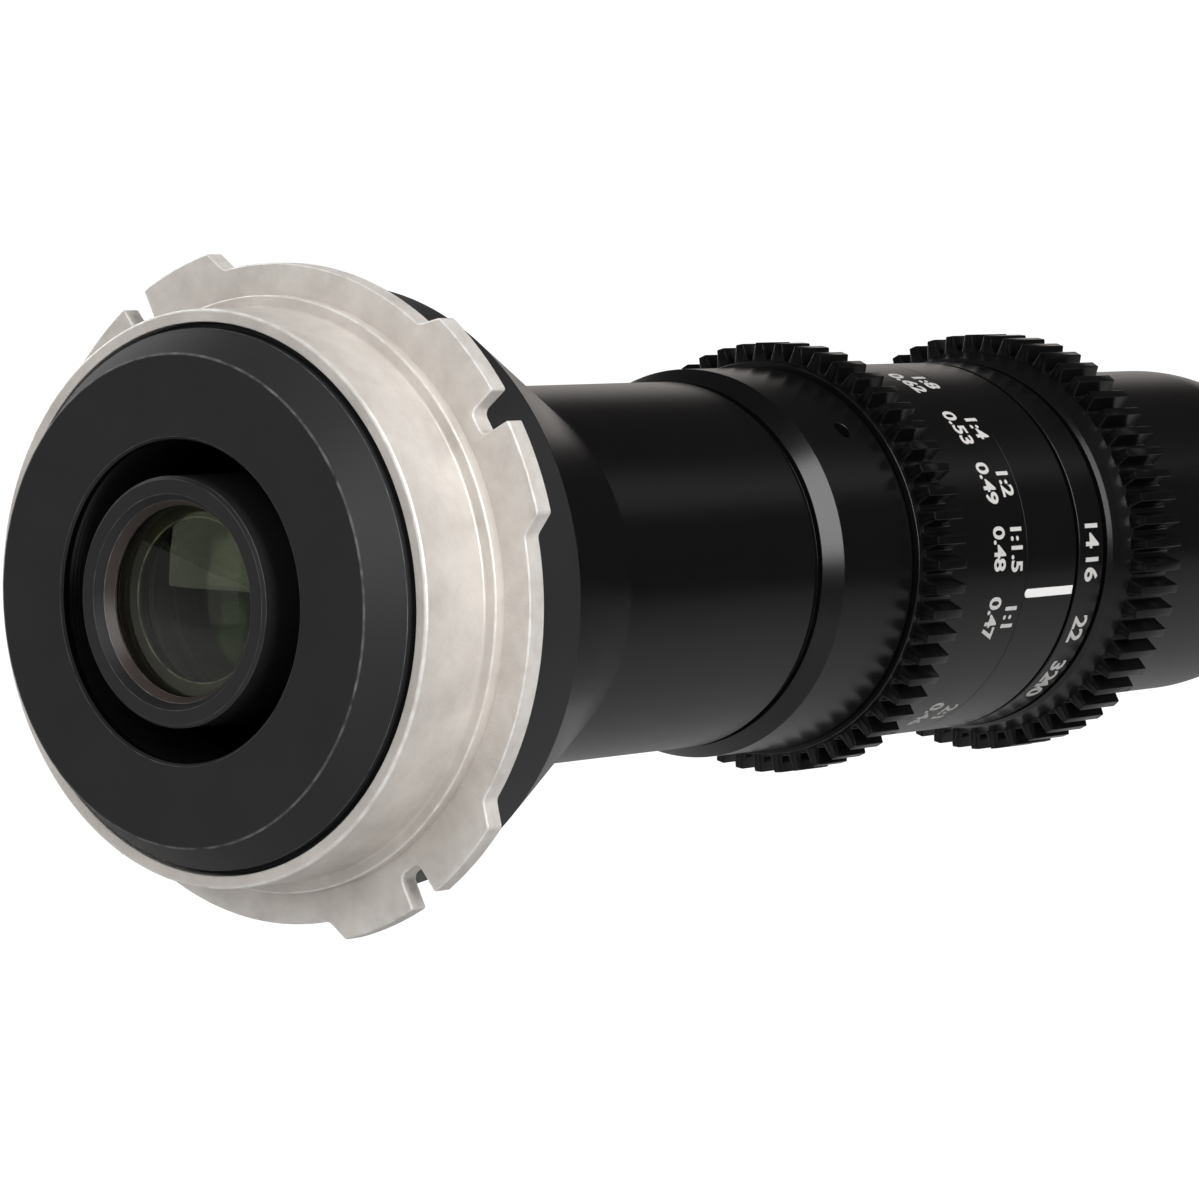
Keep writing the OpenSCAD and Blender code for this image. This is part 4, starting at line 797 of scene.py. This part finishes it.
# Barrel
piece("barrel_body", lathe("barrel_body", [
    (16.2, 20.3, 0.1), (17.4, 20.3, 0.1), (17.4, BARREL_START, 0.1), (BARREL_R, BARREL_START, 0.15),
    (BARREL_R, SLEEVE_START - 0.25, 0.12), (BARREL_R - 0.25, SLEEVE_START, 0.05), (16.2, SLEEVE_START, 0.1)]),
    BLACK, "body", "anodised_black", "rear_barrel")
GRUB_Y, GRUB_R = 70.52, 1.0
piece("sleeve_body", lathe("sleeve_body", [
    (17.05, SLEEVE_START, 0.1), (18.4, SLEEVE_START, 0.05), (18.4, 61.1, 0.05), (BARREL_R, 61.1, 0.1),
    (SLEEVE_R, 63.25, 0.25), (SLEEVE_R, SLEEVE_END, 0.2), (17.05, SLEEVE_END, 0.1)],
    pockets=[(34.6 + 120 * k, GRUB_Y, GRUB_R, SLEEVE_R - 0.9, 0.12) for k in range(3)]),
    BLACK, "body", "anodised_black", "barrel_sleeve", "grub_screws")

# Focus ring
ring_array = ring_array_tree()
piece("focus_ring_body", lathe("focus_ring_body", [
    (17.2, FOCUS_START, 0.05), (20.8, FOCUS_START, 0.15), (20.8, FOCUS_GEAR + 0.3, 0.05),
    (20.8, FOCUS_BAND - 0.3, 0.05), (20.8, FOCUS_BAND, 0.05), (SLEEVE_R, FOCUS_BAND, 0.25),
    (SLEEVE_R, FOCUS_END, 0.06), (18.75, FOCUS_END, 0.05), (18.75, 76.0, 0.05), (17.2, 76.0, 0.05)]),
    BLACK, "focus_ring", "anodised_black", "focus_ring")
gear_ring("focus_gear", FOCUS_TEETH, 20.0, FOCUS_GEAR, FOCUS_BAND, GEAR_BLACK, "focus_ring", "focus_ring")
RATIO_Y, DISTANCE_Y, DIGIT = 94.1, 90.9, 2.05
FOCUS_SCALE = [("1:1", "0.47", 97.1), ("1:1.5", "0.48", 75.7), ("1:2", "0.49", 55.4), ("1:4", "0.53", 35.7),
               ("1:8", "0.62", 12.5), ("2:1", "0.46", 136.5)]
lettering("focus_numbers", [(ratio, DIGIT, RATIO_Y, turn) for ratio, _, turn in FOCUS_SCALE]
          + [(distance, DIGIT, DISTANCE_Y, turn) for _, distance, turn in FOCUS_SCALE],
          SLEEVE_R, NUMBER_FILL, "focus_ring")

# Index ring
piece("index_ring_body", lathe("index_ring_body", [
    (17.05, INDEX_START, 0.05), (SLEEVE_R, INDEX_START, 0.06), (SLEEVE_R, INDEX_END, 0.2),
    (17.05, INDEX_END, 0.05)]), BLACK, "body", "anodised_black", "index_ring")


def index_line():
    """White line with a rounded rear end, just proud of the index ring."""
    half, y0, y1, lift = 0.48, 96.27, 105.35, 0.02
    outline = [(y1, -half), (y1, half)]
    outline += [(y0 + half - half * math.sin(a), half * math.cos(a)) for a in np.linspace(0, math.pi, 9)]
    shell = Shell()
    for r in (SLEEVE_R + lift, SLEEVE_R - lift):
        shell.add([on_axis(r, y, 90 + math.degrees(u / SLEEVE_R)) for y, u in outline],
                  on_axis(1.0 if r > SLEEVE_R else -1.0, 0.0, 90.0), 0.0)
    n = len(outline)
    shell.faces = [tuple(range(n)), tuple(range(n, 2 * n))]
    for i in range(n):
        j = (i + 1) % n
        shell.faces.append((i, j, n + j, n + i))
    mesh = shell.mesh("index_line", mend=True)
    mesh.polygons.foreach_set("use_smooth", [False] * len(mesh.polygons))
    return mesh


piece("index_line", index_line(), WHITE_FILL, "body", "white_fill", "index_mark")

# Aperture ring
piece("aperture_ring_body", lathe("aperture_ring_body", [
    (17.1, APERTURE_START, 0.05), (19.6, APERTURE_START, 0.05), (19.6, 106.2, 0.05), (SLEEVE_R, 106.2, 0.15),
    (SLEEVE_R, 110.9, 0.15), (19.6, 110.9, 0.05), (19.6, 111.5, 0.05), (20.3, 111.5, 0.1),
    (20.6, 112.1, 0.1), (20.9, 113.3, 0.15), (21.3, 114.6, 0.1), (21.3, 115.1, 0.05), (21.3, 121.6, 0.05),
    (21.3, 121.95, 0.1), (21.05, APERTURE_END, 0.1), (17.1, APERTURE_END, 0.05)]),
    BLACK, "aperture_ring", "anodised_black", "aperture_ring")
gear_ring("aperture_gear", APERTURE_TEETH, 20.5, APERTURE_GEAR, APERTURE_GEAR_END, GEAR_BLACK,
          "aperture_ring", "aperture_ring")
APERTURE_Y = 108.5
lettering("aperture_numbers", [(text, 2.4, APERTURE_Y, turn) for text, turn in (
    ("14", 73.0), ("16", 83.4), ("22", 103.5), ("32", 119.6), ("40", 127.2))],
    SLEEVE_R, NUMBER_FILL, "aperture_ring")

# Nose and probe
drop = NOSE_R - COLLAR_R
round_len = math.sqrt(NOSE_ROUND_R ** 2 - (NOSE_ROUND_R - drop) ** 2)
round_part = [(NOSE_R - NOSE_ROUND_R + math.sqrt(NOSE_ROUND_R ** 2 - d * d), NOSE_ROUND + d, 0)
              for d in np.linspace(0, round_len, 33)]
piece("nose_body", lathe("nose_body", [
    (17.05, NOSE_START, 0.05), (NOSE_R, NOSE_START, 0.2)] + round_part + [
    (COLLAR_R, NOSE_END, 0.2), (9.75, NOSE_END, 0.05), (9.75, 152.0, 0.05), (8.7, 152.0, 0.05),
    (8.7, 150.0, 0.05), (16.2, 150.0, 0.05), (16.2, 132.0, 0.05), (17.05, 132.0, 0.05)],
    pockets=[(JACK_TURN, JACK_Y, 4.35, NOSE_R - 1.0, 0.15)]),
    BLACK, "body", "anodised_black", "nose")
piece("probe_body", lathe("probe_body", [
    (PROBE_BORE_R, 152.0, 0.05), (9.7, 152.0, 0.05), (9.7, 172.55, 0.05), (PROBE_R, 172.55, 0.1),
    (PROBE_R, PROBE_END, 0.15), (PROBE_BORE_R, PROBE_END, 0.05)]),
    BLACK, "body", "anodised_black", "probe_tube")

# Camera fitted to the photo, in which the lens is turned about its axis by ROLL degrees
ROLL = 11.4
PHOTO_TURN = Matrix.Rotation(math.radians(-ROLL), 4, "Y")
right, up = Vector((0.7783, 0.6279, 0.0)), Vector((-0.0417, 0.0516, 0.9978))
forward = Vector((-0.6265, 0.7766, -0.0664))
aim = Matrix((right, up, -forward)).transposed().to_4x4()
level = Matrix.Translation(Vector((0.32381, -0.35272, 0.03126))) @ aim
camera = bpy.data.cameras.new("photo_camera")
camera.lens, camera.sensor_width, camera.sensor_fit = 152.43, 36.0, "AUTO"
camera.clip_start, camera.clip_end = 0.01, 50.0
eye = bpy.data.objects.new("photo_camera", camera)
eye.matrix_world = PHOTO_TURN @ level
bpy.context.scene.collection.objects.link(eye)
bpy.context.scene.camera = eye


# Studio
CENTRE = (0.0, 0.05, 0.0)


def soft_box(name, spot, width, height, radiance, mirrored=True):
    """Lamp aimed at the barrel, at a spot in the photo's upright frame, which turns with the camera."""
    lamp = bpy.data.lights.new(name, "AREA")
    lamp.shape, lamp.size, lamp.size_y = "RECTANGLE", width, height
    lamp.energy = radiance * math.pi * width * height
    box = bpy.data.objects.new(name, lamp)
    facing = (Vector(CENTRE) - Vector(spot)).to_track_quat("-Z", "Y").to_matrix().to_4x4()
    box.matrix_world = PHOTO_TURN @ Matrix.Translation(spot) @ facing
    box.visible_camera = False
    box.visible_glossy = mirrored
    bpy.context.scene.collection.objects.link(box)


soft_box("key_right", (0.85, -0.05, 0.45), 0.45, 0.9, 7.0)
soft_box("fill_left", (-0.50, -0.68, 0.20), 0.45, 0.45, 1.8, mirrored=False)
soft_box("window", (-0.40, -0.78, 0.02), 0.16, 0.30, 0.25)
soft_box("side_left", (-0.95, 0.10, 0.35), 0.4, 0.9, 3.5)
soft_box("bump_right", (0.45, 0.85, 0.55), 0.25, 0.3, 0.3)
soft_box("top", (-0.1, 0.25, 0.8), 0.9, 0.9, 0.2, mirrored=False)
soft_box("front_wash", (0.35, -0.95, 0.35), 0.8, 0.8, 2.4, mirrored=False)


# Side of the bright backdrop in mirrors, cosines of its soft edge, and strengths off and on it
BACKDROP_SIDE, BACKDROP_EDGE, BACKDROP_MIRRORED = (-0.62, 0.775, 0.12), (0.90, 0.99), (0.03, 0.6)
# Strength of the world's light on plain surfaces
PLAIN_LIGHT = 0.35
# Glow of the floor to the camera, which its light brings up to white, and in mirrors
FLOOR_SEEN, FLOOR_MIRRORED = 0.93, 0.115


def light_path(tree):
    """1 for the camera's own rays, and 1 for the rays that a surface mirrors or lets through."""
    path = tree.nodes.new("ShaderNodeLightPath")
    return path.outputs["Is Camera Ray"], maths(tree, "MAXIMUM", path.outputs["Is Glossy Ray"],
                                                path.outputs["Is Transmission Ray"])


def backdrop_world():
    """White to the camera, plain light on surfaces, and dark in mirrors but for the bright backdrop."""
    world = bpy.data.worlds.new("studio")
    bpy.context.scene.world = world
    world.use_nodes = True
    tree = world.node_tree
    light = tree.nodes["Background"]
    seen, glossy = light_path(tree)
    place = tree.nodes.new("ShaderNodeTexCoord").outputs["Generated"]
    toward = tree.nodes.new("ShaderNodeVectorMath")
    toward.operation = "DOT_PRODUCT"
    tree.links.new(place, toward.inputs[0])
    toward.inputs[1].default_value = PHOTO_TURN @ Vector(BACKDROP_SIDE)
    behind = tree.nodes.new("ShaderNodeMapRange")
    behind.interpolation_type = "SMOOTHSTEP"
    for label, value in zip(("From Min", "From Max", "To Min", "To Max"), BACKDROP_EDGE + BACKDROP_MIRRORED):
        behind.inputs[label].default_value = value
    tree.links.new(toward.outputs["Value"], behind.inputs["Value"])
    mirrored = maths(tree, "MULTIPLY", glossy, behind.outputs["Result"])
    plain = maths(tree, "MULTIPLY", maths(tree, "SUBTRACT", 1.0, glossy), PLAIN_LIGHT)
    strength = maths(tree, "MAXIMUM", seen, maths(tree, "ADD", mirrored, plain))
    tree.links.new(strength, light.inputs["Strength"])
    white = tree.nodes.new("ShaderNodeRGB").outputs[0]
    white.default_value = (1.0, 1.0, 1.0, 1.0)
    tree.links.new(mix_colour(tree, glossy, white, (1.0, 0.94, 0.90)), light.inputs["Color"])


def floor():
    """Pale ground that is white to the camera, keeps the shadow and mirrors as a dim surface."""
    reach, level_z = 4.0, -0.25
    mesh = bpy.data.meshes.new("floor")
    mesh.from_pydata([(-reach, -reach, level_z), (reach, -reach, level_z), (reach, reach, level_z),
                      (-reach, reach, level_z)], [], [(0, 1, 2, 3)])
    ground = bpy.data.objects.new("floor", mesh)
    bpy.context.scene.collection.objects.link(ground)
    paper = bpy.data.materials.new("pale_paper")
    paper.use_nodes = True
    tree = paper.node_tree
    shader = tree.nodes["Principled BSDF"]
    shader.inputs["Base Color"].default_value = (0.30, 0.30, 0.30, 1.0)
    shader.inputs["Roughness"].default_value = 0.9
    shader.inputs["Emission Color"].default_value = (1.0, 1.0, 1.0, 1.0)
    seen, glossy = light_path(tree)
    lit = maths(tree, "MULTIPLY_ADD", seen, FLOOR_SEEN, maths(tree, "MULTIPLY", glossy, FLOOR_MIRRORED))
    tree.links.new(lit, shader.inputs["Emission Strength"])
    mesh.materials.append(paper)


backdrop_world()
floor()
bpy.context.scene.view_settings.view_transform = "Standard"
